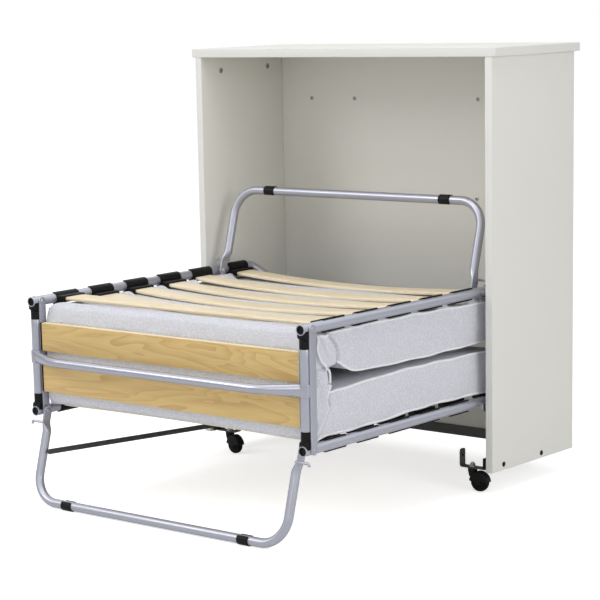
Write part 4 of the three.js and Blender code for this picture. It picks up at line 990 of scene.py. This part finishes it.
def side_reach(y, z, upper):
    """Half width of the padding where its side is at (y, z): it narrows between the posts,
    swells behind them, and is creased where the sections fold against each other. The
    lines of the folds are y, or z, as a straight function of the other."""
    reach = 373.0 + 10.2 * soft_step((y + 594) / 20)
    reach = reach + 0.9 * soft_step((y + 590) / 12) * np.sin(0.021 * y + 0.03 * z + 0.4)
    reach = reach + 0.5 * soft_step((y + 570) / 30) * np.sin(0.047 * y - 0.06 * z + 1.9)
    if not upper:
        rear = np.interp(z, *np.array(ROLL_REAR).T)
        folds = (fold(-4.5, y - rear + 8, 9, (y + 592) / 8),
                 fold(12, y - rear - 6, 4.6, (326 - z) / 6),
                 fold(4, y - rear - 20, 9, (300 - z) / 20),
                 fold(6, y + 580, 4.5) * hump(z - 266, 15),
                 fold(2.6, y + 566 - 0.3 * (z - 300), 4, (z - 292) / 14))
        return reach - sum(folds)
    front = np.interp(z, *np.array(LOBE_FRONT).T)
    lobe_y = -525 - 0.42 * (z - 376)
    groove_y = -501 - 28 * np.clip((z - 400) / 31, 0, 1) ** 1.5
    rise = (z - 362) / 10
    folds = (fold(-7.5, y - lobe_y, 21, rise),
             fold(15, y - groove_y, 5.2, (z - 372) / 10) *
             (1 - 0.35 * soft_step((z - 408) / 30)),
             6.5 * soft_step((front - y) / 5) * soft_step(rise) * soft_step((y + 600) / 12),
             fold(3.0, y + 476 - 0.62 * (z - 385), 7, (z - 362) / 30),
             fold(-1.8, y + 460 - 0.62 * (z - 385), 9, (z - 362) / 30),
             fold(2.0, y + 436 - 0.75 * (z - 385), 8, (z - 376) / 40),
             fold(2.2, y + 552 + 0.5 * (z - 405), 3.6, rise, (z - 384) / 14),
             fold(2.0, y + 528 + 0.3 * (z - 396), 3.2, rise, (z - 380) / 8, (425 - z) / 12),
             fold(-2.5, y + 548, 12, 1 - rise),
             fold(3.5, y + 572, 5, 1 - rise),
             fold(6, z - 369 - 0.1 * (y + 520), 3.5, (-506 - y) / 8, (y + 560) / 10))
    return reach - sum(folds)


def pad_rows(stations, half):
    """Padded skin: at each station a ring runs across the outer face, round a soft corner,
    down the side, round a tight corner, back across the inner face and up the other side.
    A point lies share of the way from the inner to the outer corner. The outer face drops
    beside the bowed slats by flare |x|^2.2, and swells a little between them."""
    upper = half is UPPER
    outer_y, outer_z, inner_y, inner_z, flare, soft = (c[:, None] for c in stations.T)
    thick = np.hypot(outer_y - inner_y, outer_z - inner_z)
    lift_y, lift_z = (outer_y - inner_y) / thick, (outer_z - inner_z) / thick

    def spot(wide, share, drop_soft=0, drop_tight=0):
        """Y, Z and share of the height; the drops are in soft and tight corner radii."""
        full = thick + flare * wide ** 2.2
        up = np.clip(share * full - drop_soft * soft + drop_tight * TIGHT, 0, None)
        return inner_y + lift_y * up, inner_z + lift_z * up, np.clip(up / full, 0, 1)

    place = np.sin(np.linspace(-1, 1, ACROSS) * 1.25) / math.sin(1.25)
    wide = np.abs(place)
    y, z, _ = spot(wide, 1)
    x = place * (side_reach(y, z, upper) - soft)
    beside = np.min(np.abs(y[..., None] - np.array(half["slats"])), -1)
    free = soft_step((beside - 33) / 8) * soft_step((y + 545) / 30)
    lip = 21 - flare if upper else 2 + 0.3 * flare
    swell = free * (3.2 * (1 - wide ** 6) + lip * hump(wide - 0.962, 0.028)) * \
        soft_step((100 - y) / 20)
    outer = np.stack([x, y + lift_y * swell, z + lift_z * swell], -1)

    y, z, _ = spot(wide, 0)
    inner = np.stack([place * (side_reach(y, z, upper) - TIGHT), y, z], -1)[:, ::-1]

    round_off = 1 - np.sin(np.linspace(0, math.pi / 2, CORNER + 2)[1:-1])
    down = np.linspace(1, 0, DOWN)
    side = []
    for inset, share, drop_soft, drop_tight in (
            (round_off * soft, 1, round_off[::-1], 0), (0, down, down, 1 - down),
            (round_off[::-1] * TIGHT, 0, 0, round_off)):
        y, z, up = spot(1, share, drop_soft, drop_tight)
        bulge = 2.5 * (1 - (2 * up - 1) ** 2)
        side.append(np.stack([side_reach(y, z, upper) - inset + bulge, y, z], -1))
    side = np.concatenate(side, 1)
    points = np.concatenate([outer, side, inner, side[:, ::-1] * (-1, 1, 1)], 1)

    x, y, z = np.moveaxis(points, -1, 0)
    ripple = 1.2 * np.sin(0.021 * x + 0.05 * z + 0.3) + 0.7 * np.sin(0.06 * x - 0.11 * z + 1.1)
    y += soft_step((-592 - y) / 8) * np.abs(ripple)
    inset = np.clip((371 - np.abs(x)) / 36, 0, 1)
    crown = np.sqrt(1 - (1 - inset) ** 2) * soft_step((-546 - y) / 14)
    z += crown * (12.5 * soft_step((z - 415) / 16) if upper else
                  1.5 * soft_step((250 - z) / 16))
    return points


def close_end(rows):
    """Rounds off the first ring of a pad by shrinking rings behind it, over a quarter turn."""
    depth = 9.0
    ring = rows[0]
    middle = ring.mean(0)
    away = (ring - rows[1]).mean(0)
    away /= np.linalg.norm(away)
    radial = ring - middle
    size = np.linalg.norm(radial * (0.12, 1, 1), axis=1)[:, None]
    extra = []
    for t in np.linspace(0.12, math.pi / 2, 6)[:-1]:
        inset = (1 - math.sin(t)) * depth
        extra.append(middle + radial * (1 - inset / np.maximum(size, depth * 1.5)) +
                     away * depth * math.cos(t))
    return np.concatenate([np.array(extra), rows])


def cord_wave(line):
    """Slight wander of a sewn cord along its seam, in three slow sines."""
    along = np.linspace(0, len(line) * 0.11, len(line))
    wander = np.stack([np.sin(along * 2.3), np.sin(along * 1.1 + 1), np.sin(along * 1.7 + 2)],
                      -1)
    return line + wander * soft_step(np.minimum(along, along[::-1]) / 0.8)[:, None]


def side_seam(heights, upper, side, start, end):
    """Line of a cord that climbs the side: (z, y) points, evened out over seven."""
    z = np.linspace(start, end, 60)
    y = np.interp(z, *np.array(heights).T)
    y = np.convolve(np.pad(y, 3, mode="edge"), np.ones(7) / 7, mode="valid")
    return np.stack([side * (side_reach(y, z, upper) + CORD_OUT), y, z], -1)


def make_mattress():
    """Folded mattress: lower and upper halves, each running into one half of the roll at the
    foot. Cords are sewn along the four long corners and up both sides."""
    for half, table, seam, seam_span, front_y, bend, cad in (
            (LOWER, LOWER_STATIONS, ROLL_REAR, (232, 332), (-574, -532), (0.270, 0.330),
             ["mattress_lower", "mattress_middle"]),
            (UPPER, UPPER_STATIONS, LOBE_FRONT, (334, 438), (-566, -499), (0.396, 0.336),
             ["mattress_upper"])):
        name, upper = f"mattress_{half['name']}_half", half is UPPER
        stations = smooth_line(table, 250, 1.6)
        rows = pad_rows(stations, half)
        pad = piece(name, None, [skin(close_end(rows))], KNIT, sharp=70)
        ends = [int(np.argmax(stations[:, 2 * k] < front_y[k])) for k in (0, 1)]
        right = ACROSS + CORNER + DOWN
        cords = [pipe(cord_wave(rows[2:end, column]), 3.0, 12) for column, end in (
            (ACROSS + 3, ends[0]), (rows.shape[1] - 4, ends[0]), (right + 3, ends[1]),
            (right + CORNER + ACROSS + 2, ends[1]))]
        cords += [pipe(side_seam(seam, upper, side, *seam_span), 2.6, 12) for side in SIDES]
        tape = piece(f"{name}_binding", None, cords, WHITE_TAPE)
        for item in (pad, tape):
            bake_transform(item)
        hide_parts(*cad)


# ---------------------------------------------------------------- floor and light
FLOOR_GLOW, MIRRORED_GLOW = 0.62, 0.3     # floor's own light, and its share in reflections
SKY = 0.46                                # world's light on surfaces
LAMPS = {"key": ((-2.6, -3.4, 3.2), 2.2, 64), "front": ((1.6, -4.6, 2.0), 2.0, 18),
         "right": ((4.8, -0.8, 2.0), 2.4, 55), "overhead": ((0.3, -0.6, 4.2), 2.6, 48)}
LAMP_AIM = Vector((0, 0, 0.5))


def make_floor():
    """Pale floor that keeps a soft shadow and shows white to the camera."""
    mesh = bpy.data.meshes.new("floor")
    mesh.from_pydata([(-30, -30, 0), (30, -30, 0), (30, 30, 0), (-30, 30, 0)], [],
                     [(0, 1, 2, 3)])
    floor = bpy.data.objects.new("floor", mesh)
    bpy.context.scene.collection.objects.link(floor)
    material = bpy.data.materials.new("pale_floor")
    material.use_nodes = True
    tree = material.node_tree
    sockets = tree.nodes["Principled BSDF"].inputs
    sockets["Base Color"].default_value = (0.86, 0.86, 0.86, 1)
    sockets["Roughness"].default_value = 0.9
    sockets["Specular IOR Level"].default_value = 0.1
    sockets["Emission Color"].default_value = (1, 1, 1, 1)
    rays = put(tree, "ShaderNodeLightPath").outputs
    mirrored = reckon(tree, "MULTIPLY", rays["Is Glossy Ray"], MIRRORED_GLOW)
    seen = reckon(tree, "MAXIMUM", rays["Is Camera Ray"], mirrored)
    tree.links.new(reckon(tree, "MULTIPLY", seen, FLOOR_GLOW), sockets["Emission Strength"])
    mesh.materials.append(material)


def make_light():
    """White world, brighter overhead in reflections, and four soft studio lamps."""
    world = bpy.data.worlds.new("studio")
    bpy.context.scene.world = world
    world.use_nodes = True
    tree = world.node_tree
    background = tree.nodes["Background"].inputs
    rays = put(tree, "ShaderNodeLightPath").outputs
    way = put(tree, "ShaderNodeTexCoord").outputs["Generated"]
    upward = put(tree, "ShaderNodeSeparateXYZ", {0: way}).outputs["Z"]
    mirrored = remap(tree, upward, (0.05, 0.75), (0.56, 1.5))
    indirect = put(tree, "ShaderNodeMix", {0: rays["Is Glossy Ray"], 2: SKY, 3: mirrored},
                   data_type="FLOAT")
    level = put(tree, "ShaderNodeMix", {0: rays["Is Camera Ray"], 2: indirect.outputs[0],
                                        3: 1.0}, data_type="FLOAT")
    background["Color"].default_value = (1, 1, 1, 1)
    tree.links.new(level.outputs[0], background["Strength"])
    for name, (spot, size, power) in LAMPS.items():
        lamp = bpy.data.lights.new(name, "AREA")
        lamp.shape, lamp.size, lamp.energy = "DISK", size, power
        item = bpy.data.objects.new(name, lamp)
        item.location = spot
        item.rotation_mode = "QUATERNION"
        item.rotation_quaternion = (LAMP_AIM - Vector(spot)).to_track_quat("-Z", "Y")
        bpy.context.scene.collection.objects.link(item)


make_floor()
make_light()
make_cabinet()
make_base()
make_castors()
for bed_half in (LOWER, UPPER):
    make_frame(bed_half)
    make_slats(bed_half)
make_middle()
make_legs()
make_mattress()
